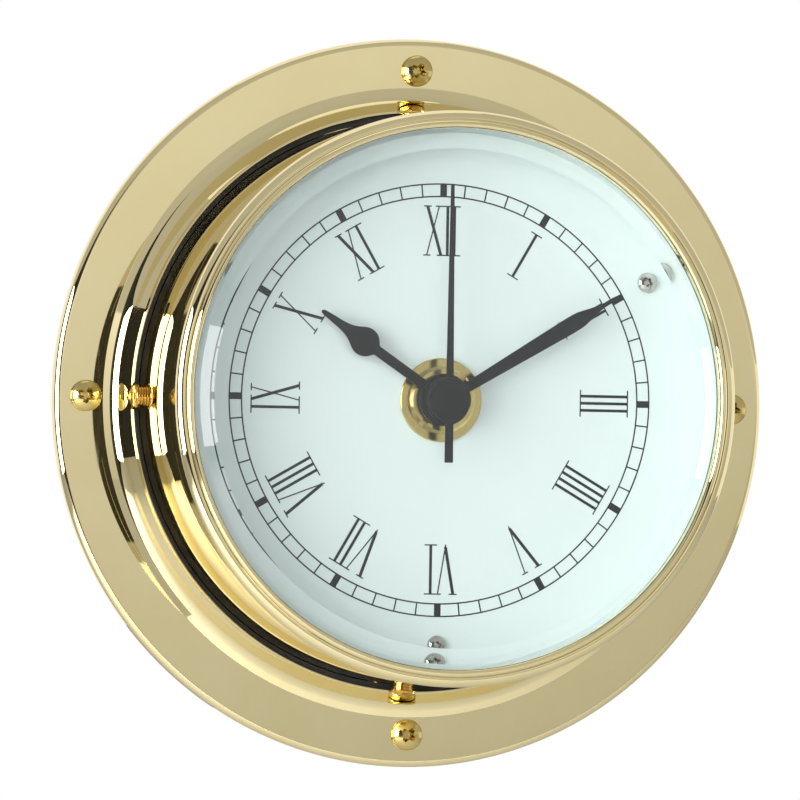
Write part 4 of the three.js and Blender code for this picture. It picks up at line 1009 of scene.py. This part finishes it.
@dataclass
class Drum:
    """The case drum with its studs, dial seat and screw lugs."""

    radius: float = 58.5
    wall: float = 1.5
    back: float = 1.5
    front: float = 41.2
    thread_step: float = 0.85
    thread_length: float = 3.7
    thread_pitch: float = 0.6
    seat_gap: float = 0.1
    seat_width: float = 2.9
    seat_front: float = 25.5
    seat_thickness: float = 1.5
    lug_radius: float = 3.4
    lug_thickness: float = 5
    lug_circle: float = 50.2
    stud_radius: float = 2.5
    stud_depth: float = 9.4
    stud_reach: float = 2.1
    stud_tail: float = 1.1
    stud_dome: float = 0.8
    stud_pitch: float = 0.55
    crest_depth: float = 0.25

    def build_wall(self) -> bpy.types.Object:
        """Turns the wall with its threaded front.

        Returns:
            The new piece.
        """
        bore = self.radius - self.wall
        section = Section()
        section.arc((bore + 0.2, self.back + 0.2), 0.2, 0.2, 180, 270, 3)
        section.arc((self.radius - 0.3, self.back + 0.3), 0.3, 0.3, -90, 0, 4)
        start = self.front - self.thread_length
        section.to((self.radius, start))
        crest = self.radius - self.thread_step
        root = crest - self.crest_depth
        section.to((root, start))
        turns = int((self.thread_length - 0.6) / self.thread_pitch)
        for turn in range(turns):
            level = start + 0.3 + turn * self.thread_pitch
            section.to((root, level), (crest, level + self.thread_pitch / 2))
        section.to((root, level + self.thread_pitch), (root, self.front), (bore, self.front))
        return bench.turned("case_drum_turned", section)

    def build_seat(self) -> bpy.types.Object:
        """Turns the dial's seat ring and gives it a lug behind each dial screw.

        Returns:
            The new piece.
        """
        outer = self.radius - self.wall - self.seat_gap
        inner = self.radius - self.wall - self.seat_width
        back = self.seat_front - self.seat_thickness
        section = Section().to((inner, back), (outer, back - self.seat_width / 2))
        section.to((outer, self.seat_front), (inner, self.seat_front))
        ring = bench.turned("seat_ring", section)
        lugs = [self.build_lug(angle) for angle in DIAL_SCREW_ANGLES]
        return bench.joined([ring, *lugs], "dial_seat_turned")

    def build_lug(self, angle: float) -> bpy.types.Object:
        """Builds the lug behind one dial screw.

        Args:
            angle: Clockwise angle from 12, in degrees.

        Returns:
            The new piece.
        """
        root = self.radius - self.wall - self.seat_width / 2
        outline = [(self.lug_radius, root), (-self.lug_radius, root)]
        outline += [(right, self.lug_circle + up) for right, up in lower_half(self.lug_radius, 24)]
        lug = bench.slab("lug", outline, self.seat_front - self.lug_thickness, self.seat_front - 0.02)
        return bench.placed(bench.finish_mesh(bench.rounded(lug, 0.25)), dial_turn(angle))

    def build_stud(self) -> bpy.types.Object:
        """Builds the stud at 12: thread with a domed end, standing out of the wall.

        Returns:
            The new piece.
        """
        tail = self.radius - self.wall - self.stud_tail
        end = self.radius + self.stud_reach
        root = self.stud_radius - 0.3
        neck = end - self.stud_dome
        crest = self.stud_radius - 0.12
        section = Section(guard=0.03).to((0, tail), (root, tail), (root, neck - 0.1), (crest, neck))
        section.arc((0, neck), crest, self.stud_dome, 8, 90, 12)
        section.points[-1] = (0, end)
        core = bench.turned("stud_core", section, SMALL_STEPS, closed=False)
        turns = int((neck - tail) / self.stud_pitch)
        thread = bench.screw_thread("stud_thread", root - 0.1, self.stud_radius, self.stud_pitch, turns, tail)
        stud = bench.joined([core, thread], "stud_pattern")
        lean = Matrix.Rotation(radians(-90), 4, "X")
        return bench.placed(stud, Matrix.Translation((0, -self.stud_depth * MM, 0)) @ lean)

    def build(self, finisher: Finisher) -> None:
        """Builds and dresses the drum, the dial's seat and the studs.

        Args:
            finisher: Gives each piece its finish, its body and its CAD node.
        """
        finisher.dress(self.build_wall(), Slot.CASE, "clock", "case_drum")
        finisher.dress(self.build_seat(), Slot.CASE, "clock", "dial_seat")
        places = [dial_turn(angle) for angle in STUD_ANGLES]
        finisher.dress_copies(self.build_stud(), "stud", places, Slot.STUD, "clock")


@dataclass
class Bezel:
    """The bezel with the glass and the rings that the glass lies on."""

    radius: float = 58.5
    front: float = 44.2
    edge_round: float = 1.6
    groove_radius: float = 56.45
    groove_drop: float = 1.4
    bead_width: float = 1.6
    skirt: float = 0.6
    skirt_back: float = 37.8
    body_back: float = 41.5
    lip_back: float = 41.8
    drum_bore: float = 57.0
    glass_radius: float = 56.65
    glass_front: float = 43
    glass_back: float = 40
    glass_rim_front: float = 41.5
    glass_bevel_radius: float = 53.9
    glass_bevel_width: float = 3.2
    gasket_back: float = 39.2
    gasket_thickness: float = 0.7
    gasket_width: float = 1.5
    ring_back: float = 26.7
    ring_front: float = 39.1
    ring_wall: float = 1.3

    def build_bezel(self) -> bpy.types.Object:
        """Turns the two beads, the groove between them and the skirt.

        Returns:
            The new piece.
        """
        inside = self.groove_radius - self.bead_width
        skirt_inside = self.radius - self.skirt
        top = self.front - self.edge_round / 2
        section = Section()
        section.to((skirt_inside, self.skirt_back), (self.radius - 0.1, self.skirt_back))
        section.to((self.radius, self.skirt_back + 0.1))
        edge = self.edge_round
        section.arc((self.radius - edge, top - edge), edge, edge, 0, 100, 18)
        section.to((self.groove_radius + 0.12, self.front - self.groove_drop))
        section.to((self.groove_radius - 0.02, self.front - self.groove_drop))
        half = self.bead_width / 2
        section.arc((inside + half, self.front - half), half - 0.02, half, 0, 180, 18)
        section.to((inside, self.lip_back), (self.drum_bore, self.lip_back), (self.drum_bore, self.body_back))
        section.to((skirt_inside, self.body_back))
        return bench.turned("bezel_turned", section)

    def build_glass(self) -> bpy.types.Object:
        """Turns the glass with its wide bevel.

        Returns:
            The new piece.
        """
        inner = self.glass_bevel_radius - self.glass_bevel_width
        section = Section(guard=0.02)
        section.to((0, self.glass_back), (self.glass_radius - 0.2, self.glass_back))
        section.to((self.glass_radius, self.glass_back + 0.2))
        section.to((self.glass_radius, self.glass_rim_front - 0.1))
        section.to((self.glass_radius - 0.1, self.glass_rim_front))
        section.to((self.glass_bevel_radius, self.glass_rim_front))
        section.to((inner, self.glass_front), (0, self.glass_front))
        return bench.turned("glass_ground", section, closed=False, crease=12)

    def build_gasket(self) -> bpy.types.Object:
        """Turns the gasket behind the glass.

        Returns:
            The new piece.
        """
        outer = self.glass_radius
        inner = outer - self.gasket_width
        middle = self.gasket_back + self.gasket_thickness / 2
        half = self.gasket_thickness / 2
        section = Section(guard=0.02)
        section.arc((outer - half, middle), half, half, -90, 90, 8)
        section.arc((inner + half, middle), half, half, 90, 270, 8)
        return bench.turned("gasket_moulded", section)

    def build_inner_ring(self) -> bpy.types.Object:
        """Turns the white ring between the dial and the glass.

        Returns:
            The new piece.
        """
        outer = self.glass_radius
        inner = outer - self.ring_wall
        section = Section(guard=0.04)
        section.to((inner + 0.1, self.ring_back), (outer, self.ring_back), (outer, self.ring_front))
        section.to((inner + 0.3, self.ring_front))
        section.arc((inner + 0.3, self.ring_front - 0.3), 0.3, 0.3, 90, 180, 5)
        section.to((inner, self.ring_back + 0.1))
        return bench.turned("inner_ring_turned", section)

    def build(self, finisher: Finisher) -> None:
        """Builds and dresses the bezel and what it holds.

        Args:
            finisher: Gives each piece its finish, its body and its CAD node.
        """
        finisher.dress(self.build_bezel(), Slot.CASE, "clock", "bezel")
        finisher.dress(self.build_glass(), Slot.GLASS, "clock", "glass")
        finisher.dress(self.build_gasket(), Slot.RUBBER, "clock", "glass_gasket")
        finisher.dress(self.build_inner_ring(), Slot.DIAL, "clock", "inner_ring")


class Letter(Enum):
    """Letters that the hour numerals are made of."""

    ONE = "I"
    FIVE = "V"
    TEN = "X"


NUMERALS: dict[int, tuple[tuple[Letter, float], ...]] = {
    1: ((Letter.ONE, 0.0),),
    2: ((Letter.ONE, -0.73), (Letter.ONE, 0.73)),
    3: ((Letter.ONE, -1.46), (Letter.ONE, 0.0), (Letter.ONE, 1.46)),
    4: ((Letter.ONE, -2.19), (Letter.ONE, -0.73), (Letter.ONE, 0.73), (Letter.ONE, 2.19)),
    5: ((Letter.FIVE, 0.0),),
    6: ((Letter.FIVE, -1.57), (Letter.ONE, 1.56)),
    7: ((Letter.FIVE, -2.3), (Letter.ONE, 0.8), (Letter.ONE, 2.26)),
    8: ((Letter.FIVE, -3.0), (Letter.ONE, 0.1), (Letter.ONE, 1.56), (Letter.ONE, 3.02)),
    9: ((Letter.ONE, -2.1), (Letter.TEN, 0.9)),
    10: ((Letter.TEN, 0.0),),
    11: ((Letter.TEN, -1.1), (Letter.ONE, 1.7)),
    12: ((Letter.TEN, -1.85), (Letter.ONE, 0.95), (Letter.ONE, 2.4)),
}


@dataclass
class Dial:
    """The dial plate, its print and its screws."""

    radius: float = 56.65
    front: float = 26.6
    thickness: float = 1
    bush_hole: float = 4.35
    screw_circle: float = 50.2
    screw_hole: float = 1.15
    screw_head: float = 2.1
    screw_height: float = 1.3
    screw_shank: float = 1
    screw_length: float = 4.4
    screw_turns: tuple[float, ...] = (20, 75, 50)
    ink: float = 0.02
    track_outer: float = 44.24
    track_inner: float = 41.68
    line: float = 0.3
    hour_mark: float = 1.4
    numeral_inner: float = 29.5
    numeral_outer: float = 39.8
    thick: float = 0.62
    thin: float = 0.27
    serif: float = 0.27

    def build_plate(self) -> bpy.types.Object:
        """Turns the plate and drills it for its screws.

        Returns:
            The new piece.
        """
        back = self.front - self.thickness
        section = Section()
        section.to((self.bush_hole, back), (self.radius, back), (self.radius, self.front - 0.1))
        section.to((self.radius - 0.1, self.front), (self.bush_hole, self.front))
        plate = bench.turned("dial_plate", section)
        holes = []
        for angle in DIAL_SCREW_ANGLES:
            hole = bench.drill("screw_hole", self.screw_hole, back - 1, self.front + 1, DRILL_STEPS)
            holes.append(bench.placed(hole, Matrix.Translation(on_dial(angle, self.screw_circle))))
        return bench.cut(plate, *holes)

    def bar(self, low: float, high: float, width: float, bottom: float, top: float) -> bpy.types.Object:
        """Prints one straight stroke with level ends.

        Args:
            low: Place of its bottom end, to the right.
            high: Place of its top end.
            width: Its width.
            bottom: Radius of its bottom end.
            top: Radius of its top end.

        Returns:
            The stroke.
        """
        half = width / 2
        outline = [(low - half, bottom), (low + half, bottom), (high + half, top), (high - half, top)]
        return bench.slab("stroke", outline, self.front, self.front + self.ink)

    def build_letter(self, letter: Letter) -> bpy.types.Object:
        """Prints one letter, upright at 12.

        Args:
            letter: Which letter it is.

        Returns:
            The new piece.
        """
        bottom, top = self.numeral_inner, self.numeral_outer
        under, over = bottom + self.serif, top - self.serif
        strokes: list[bpy.types.Object] = []

        def serif(middle: float, half: float, at_top: bool) -> None:
            """Adds a serif at a place, half as long to each side."""
            low, high = (over, top) if at_top else (bottom, under)
            strokes.append(self.bar(middle, middle, half * 2, low, high))

        if letter is Letter.ONE:
            strokes.append(self.bar(0, 0, self.thick * 0.95, under, over))
            serif(0, 1.3, True)
            serif(0, 1.3, False)
        elif letter is Letter.FIVE:
            strokes.append(self.bar(0.05, -1.62, self.thick * 1.05, bottom + 0.5, over))
            strokes.append(self.bar(-0.02, 1.58, self.thin, bottom, over))
            strokes.append(self.bar(-0.02, 0.05, 0.2, bottom, bottom + 0.8))
            serif(-1.62, 0.85, True)
            serif(1.58, 0.7, True)
        else:
            strokes.append(self.bar(1.42, -1.42, self.thick * 1.05, under, over))
            strokes.append(self.bar(-1.5, 0.95, self.thin, under, over))
            serif(-1.42, 0.8, True)
            serif(1.0, 0.75, True)
            serif(-1.5, 0.75, False)
            serif(1.42, 0.85, False)
        return bench.joined(strokes, f"letter_{letter.value}")

    def build_numerals(self) -> bpy.types.Object:
        """Prints the twelve hour numerals, tops outwards.

        Returns:
            The new piece.
        """
        patterns = {letter: self.build_letter(letter) for letter in Letter}
        copies = []
        for hour, letters in NUMERALS.items():
            for letter, place in letters:
                shift = Matrix.Translation((place * MM, 0, 0))
                copies.append(bench.copied(patterns[letter], "letter", dial_turn(hour * 30) @ shift))
        bench.thrown_away(*patterns.values())
        return bench.joined(copies, "dial_numerals")

    def build_track(self) -> bpy.types.Object:
        """Prints the minute track: two circles and a mark for each minute.

        Returns:
            The new piece.
        """
        half = self.line / 2
        parts = []
        for radius in (self.track_inner, self.track_outer):
            section = Section(guard=0.01)
            section.to((radius - half, self.front), (radius + half, self.front))
            section.to((radius + half, self.front + self.ink), (radius - half, self.front + self.ink))
            parts.append(bench.turned("track_circle", section))
        for minute in range(60):
            width = self.hour_mark if minute % 5 == 0 else self.line
            mark = self.bar(0, 0, width, self.track_inner, self.track_outer)
            parts.append(bench.placed(mark, dial_turn(minute * 6)))
        return bench.joined(parts, "minute_track")

    def build_screw(self) -> bpy.types.Object:
        """Builds one dial screw on the clock's axis.

        Returns:
            The new piece.
        """
        seat = self.front + 0.1
        head = CrossHead(seat, self.screw_head, self.screw_height, 0.3, 1.15, 0.3, 1.0)
        tip = seat - self.screw_length
        shank = [(0, tip), (self.screw_shank, tip + 0.2), (self.screw_shank, seat)]
        return head.build("dial_screw_pattern", shank)

    def build(self, finisher: Finisher) -> None:
        """Builds and dresses the dial and what is on it.

        Args:
            finisher: Gives each piece its finish, its body and its CAD node.
        """
        finisher.dress(self.build_plate(), Slot.DIAL, "clock", "dial")
        finisher.dress(self.build_track(), Slot.HAND, "clock")
        finisher.dress(self.build_numerals(), Slot.HAND, "clock")
        places = screw_places(DIAL_SCREW_ANGLES, self.screw_circle, self.screw_turns)
        finisher.dress_copies(self.build_screw(), "dial_screw", places, Slot.STEEL, "clock")


@dataclass
class DialNut:
    """The washer and the round nut on the movement's threaded bush."""

    back: float = 26.7
    bore: float = 4.15
    washer_radius: float = 8.6
    washer_thickness: float = 0.6
    washer_round: float = 0.3
    nut_radius: float = 6.9
    nut_back: float = 27.4
    nut_thickness: float = 1.5
    chamfer: float = 0.6
    slot_width: float = 1.4
    slot_angle: float = 40
    slot_depth: float = 1
    slot_reach: tuple[float, float] = (5.0, 8.0)

    def build_washer(self) -> bpy.types.Object:
        """Turns the washer with its rounded top.

        Returns:
            The new piece.
        """
        front, rounding = self.back + self.washer_thickness, self.washer_round
        section = Section(guard=0.03)
        section.to((self.bore, self.back), (self.washer_radius - 0.1, self.back))
        section.arc((self.washer_radius - rounding, front - rounding), rounding, rounding, -20, 90, 8)
        section.to((self.bore, front))
        return bench.turned("washer_turned", section, NUT_STEPS)

    def build_nut(self) -> bpy.types.Object:
        """Turns the nut and cuts its two spanner slots.

        Returns:
            The new piece.
        """
        front = self.nut_back + self.nut_thickness
        section = Section(guard=0.03)
        section.to((self.bore, self.nut_back), (self.nut_radius - 0.1, self.nut_back))
        section.to((self.nut_radius, self.nut_back + 0.1), (self.nut_radius, front - self.chamfer))
        section.to((self.nut_radius - self.chamfer, front))
        section.to((self.bore + 0.3, front), (self.bore, front - 0.3))
        nut = bench.turned("nut_turned", section, NUT_STEPS)
        half = self.slot_width / 2
        near, far = self.slot_reach
        outline = [(-half, near), (half, near), (half, far), (-half, far)]
        tools = []
        for angle in (self.slot_angle, self.slot_angle + 180):
            tool = bench.slab("slot_tool", outline, front - self.slot_depth, front + 1)
            tools.append(bench.placed(tool, dial_turn(angle)))
        return bench.cut(nut, *tools)

    def build(self, finisher: Finisher) -> None:
        """Builds and dresses washer and nut."""
        finisher.dress(self.build_washer(), Slot.TURNED, "clock", "washer")
        finisher.dress(self.build_nut(), Slot.TURNED, "clock", "nut")


@dataclass
class Hand:
    """One hand: a stamped blade on a turned boss.

    Attributes:
        name: Name of the CAD node that it stands for.
        body: The CAD body that it rides on.
        angle: Where it points.
        boss_radius: Radius of its boss.
        boss_front: Depth of the boss's front.
        bore: Radius of the hole in the boss.
        bore_front: Depth at which the hole ends.
        blade: Distance from the axis and half width, from the tail to the tip.
        boss_thickness: Thickness of its boss.
        thickness: Thickness of its blade.
        boss_round: Rounding of the boss's front edge.
    """

    name: str
    body: str
    angle: float
    boss_radius: float
    boss_front: float
    bore: float
    bore_front: float
    blade: tuple[Point, ...]
    boss_thickness: float = 1.5
    thickness: float = 0.4
    boss_round: float = 0.35

    def build(self, finisher: Finisher) -> None:
        """Builds and dresses the hand.

        Args:
            finisher: Gives each piece its finish, its body and its CAD node.
        """
        back = self.boss_front - self.boss_thickness
        middle = back + self.boss_thickness / 2
        side = [(half, reach) for reach, half in self.blade]
        outline = side + [(-half, reach) for half, reach in reversed(side)]
        blade = bench.slab("blade", outline, middle - self.thickness / 2, middle + self.thickness / 2)
        rounding = self.boss_round
        section = Section(guard=0.03)
        capped = self.bore_front < self.boss_front
        if capped:
            section.to((0, self.bore_front), (self.bore, self.bore_front))
        section.to((self.bore, back), (self.boss_radius - 0.15, back), (self.boss_radius, back + 0.15))
        section.arc((self.boss_radius - rounding, self.boss_front - rounding), rounding, rounding, 0, 90, 6)
        section.to((0 if capped else self.bore, self.boss_front))
        boss = bench.turned("boss", section, BOSS_STEPS, closed=not capped)
        end = min(self.bore_front, self.boss_front + 1)
        bench.cut(blade, bench.drill("bore_tool", self.bore, back - 1, end, BORE_STEPS))
        hand = bench.placed(bench.joined([boss, blade], f"{self.name}_stamped"), dial_turn(self.angle))
        finisher.dress(hand, Slot.HAND, self.body, self.name)


HOUR_BLADE: tuple[Point, ...] = (
    (0.0, 1.0), (17.3, 1.02), (17.6, 1.25), (17.85, 1.6), (18.25, 2.1), (18.8, 2.55), (19.5, 2.87),
    (20.4, 3.0),
    (21.3, 2.87), (22.1, 2.52), (22.9, 2.0), (23.8, 1.52), (24.8, 1.17), (25.8, 0.96), (27.0, 0.82),
    (28.5, 0.7),
    (30.2, 0.53), (30.9, 0.43), (31.2, 0.31), (31.4, 0.12),
)
MINUTE_BLADE: tuple[Point, ...] = (
    (0.0, 0.9), (5.0, 1.02), (22.0, 1.48), (30.0, 1.68), (32.0, 1.66), (33.0, 1.55), (34.2, 1.28),
    (35.4, 0.98),
    (36.8, 0.68), (38.4, 0.45), (41.0, 0.42), (41.6, 0.34), (41.8, 0.15),
)
SECOND_BLADE: tuple[Point, ...] = (
    (-12.9, 0.85), (-0.5, 0.8), (7.8, 0.7), (28.9, 0.5), (36.7, 0.42), (43.9, 0.33),
)

HANDS: tuple[Hand, ...] = (
    Hand("hour_hand", "hour", 304.2, 5.34, 30.85, 2.55, 40, HOUR_BLADE),
    Hand("minute_hand", "minute", 58.7, 4.56, 32.9, 1.7, 40, MINUTE_BLADE),
    Hand("second_hand", "second", 0.0, 4.4, 35.0, 0.5, 34.4, SECOND_BLADE),
)


@dataclass(frozen=True)
class Screen:
    """One upright screen, bent round the clock, that only reflections show.

    Attributes:
        name: Name of the screen.
        start: Angle of its right edge to the left of the clock's front, in degrees.
        end: Angle of its left edge.
        bottom: Angle of its lower edge above the clock.
        top: Angle of its upper edge.
        low: Brightness at its lower edge.
        high: Brightness at its upper edge.
        fade: Two places to the right, in metres, and the share of its brightness at each.
    """

    name: str
    start: float
    end: float
    bottom: float
    top: float
    low: float
    high: float
    fade: tuple[float, float, float, float] = (0.0, 1.0, 1.0, 1.0)

    def material(self, foot: float, head: float) -> bpy.types.Material:
        """Builds its own even glow, which changes from its foot to its head.

        Args:
            foot: Height of its lower edge, in metres.
            head: Height of its upper edge.

        Returns:
            The material.
        """
        recipe = Recipe(f"{self.name} glow")
        recipe.set(Base_Color=(0.01, 0.01, 0.01, 1), Roughness=0.9, Emission_Color=(1, 1, 1, 1))
        axes = recipe.add("SeparateXYZ", {"Vector": recipe.place()}).outputs
        glow = recipe.spread(axes["Z"], foot, head, self.low, self.high)
        side = recipe.spread(axes["X"], *self.fade)
        recipe.feed(recipe.math("MULTIPLY", glow, side), "Emission Strength")
        return recipe.material

    def build(self, distance: float) -> None:
        """Bends the screen round the clock.

        Args:
            distance: Distance from the clock, in metres.
        """
        turn = radians(self.start)
        foot, head = distance * tan(radians(self.bottom)), distance * tan(radians(self.top))
        edge = [Vector((-sin(turn) * distance, -cos(turn) * distance, height)) for height in (foot, head)]
        piece = bench.chain(self.name, edge, closed=False)
        bpy.ops.mesh.spin(steps=32, angle=radians(self.end - self.start), center=(0, 0, 0), axis=(0, 0, 1))
        bpy.ops.object.mode_set(mode="OBJECT")
        bpy.ops.object.shade_smooth()
        piece.visible_camera = False
        piece.visible_diffuse = False
        piece.visible_shadow = False
        piece.data.materials.append(self.material(foot, head))


@dataclass
class Studio:
    """Camera, soft light, floor, white room and the screens that the brass mirrors."""

    azimuth: float = -13.78
    elevation: float = -1.49
    roll: float = 0.884
    distance: float = 1.4664
    lens: float = 323.08
    target: tuple[float, float, float] = (-0.00851, -0.0276, -0.00015)
    floor_height: float = -0.35
    room_level: float = 0.4
    light_place: tuple[float, float, float] = (-0.9, -0.76, 0.077)
    light_size: tuple[float, float] = (1.14, 0.6)
    light_level: float = 8
    fill_place: tuple[float, float, float] = (-0.25, -1.7, 0.3)
    fill_size: float = 0.8
    fill_energy: float = 12
    screen_distance: float = 1.75
    screens: tuple[Screen, ...] = (
        Screen("dark_screen", 9.3, 105, -26, 22.5, 0.01, 0.01),
        Screen("lower_screen", -60, 9.3, -32, -4, 0.42, 0.48),
        Screen("grey_screen", -60, 9.3, -4, 7, 0.5, 0.9, (0.2, 0.5, 1.12, 0.86)),
        Screen("upper_right_screen", -110, 9.3, 7, 72, 0.52, 0.46),
        Screen("upper_left_screen", 9.3, 110, 22.5, 72, 0.5, 0.46),
    )

    def place_camera(self) -> None:
        """Puts the camera at the photograph's place."""
        side, rise, turn = radians(self.azimuth), radians(self.elevation), radians(self.roll)
        back = Vector((sin(side) * cos(rise), -cos(side) * cos(rise), sin(rise)))
        right = (-back).cross(Vector((0, 0, 1))).normalized()
        up = right.cross(-back)
        right, up = cos(turn) * right + sin(turn) * up, cos(turn) * up - sin(turn) * right
        bpy.ops.object.camera_add()
        camera = bpy.context.object
        camera.name = "photo_camera"
        camera.data.lens = self.lens
        camera.data.clip_start = 0.05
        camera.data.clip_end = 20
        spin = Matrix((right, up, back)).transposed().to_4x4()
        camera.matrix_world = Matrix.Translation(Vector(self.target) + back * self.distance) @ spin
        bpy.context.scene.camera = camera

    def place_light(self) -> None:
        """Hangs the large soft light at the left, square to the wall."""
        bpy.ops.object.light_add(type="AREA")
        light = bpy.context.object
        light.name = "soft_light"
        light.data.shape = "RECTANGLE"
        light.data.size, light.data.size_y = self.light_size
        light.data.energy = self.light_level * pi * self.light_size[0] * self.light_size[1]
        facing = Vector((-1, 0, 0)).to_track_quat("Z", "Y").to_matrix().to_4x4()
        light.matrix_world = Matrix.Translation(self.light_place) @ facing

    def place_fill(self) -> None:
        """Hangs a weak, even light in front, which no reflection shows."""
        bpy.ops.object.light_add(type="AREA", location=self.fill_place)
        light = bpy.context.object
        light.name = "fill_light"
        light.data.size = self.fill_size
        light.data.energy = self.fill_energy
        light.visible_glossy = False
        light.visible_transmission = False
        light.rotation_euler = (-Vector(self.fill_place)).to_track_quat("-Z", "Y").to_euler()

    def place_floor(self) -> None:
        """Lays the pale floor under the clock."""
        bench.clear()
        bpy.ops.mesh.primitive_plane_add(size=3, location=(0, 0, self.floor_height))
        floor = bpy.context.object
        floor.name = "floor"
        recipe = Recipe("Pale floor")
        recipe.set(Base_Color=(0.86, 0.86, 0.86, 1), Roughness=0.8)
        floor.data.materials.append(recipe.material)

    def light_room(self) -> None:
        """Makes the room white to the eye and in reflections, and lower as a light."""
        world = bpy.data.worlds.new("White room")
        bpy.context.scene.world = world
        world.use_nodes = True
        graph = Graph(world.node_tree)
        path = graph.add("LightPath").outputs
        seen = graph.math("ADD", path["Is Camera Ray"], path["Is Glossy Ray"])
        passed = graph.math("ADD", seen, path["Is Transmission Ray"], use_clamp=True)
        sky = graph.nodes["Background"]
        sky.inputs["Color"].default_value = (1, 1, 1, 1)
        graph.links.new(graph.spread(passed, 0, 1, self.room_level, 1), sky.inputs["Strength"])

    def build(self) -> None:
        """Sets up the whole studio."""
        self.place_camera()
        self.place_light()
        self.place_fill()
        self.place_floor()
        self.light_room()
        for screen in self.screens:
            screen.build(self.screen_distance)
        bpy.context.scene.view_settings.view_transform = "Standard"


def main() -> None:
    """Builds and dresses the whole clock, then the studio."""
    logging.basicConfig(level=logging.INFO, format="%(message)s")
    finisher = Finisher()
    finisher.dress_nodes()
    BaseRing().build(finisher)
    Drum().build(finisher)
    Bezel().build(finisher)
    Dial().build(finisher)
    DialNut().build(finisher)
    for hand in HANDS:
        hand.build(finisher)
    Studio().build()


if __name__ == "__main__":
    main()
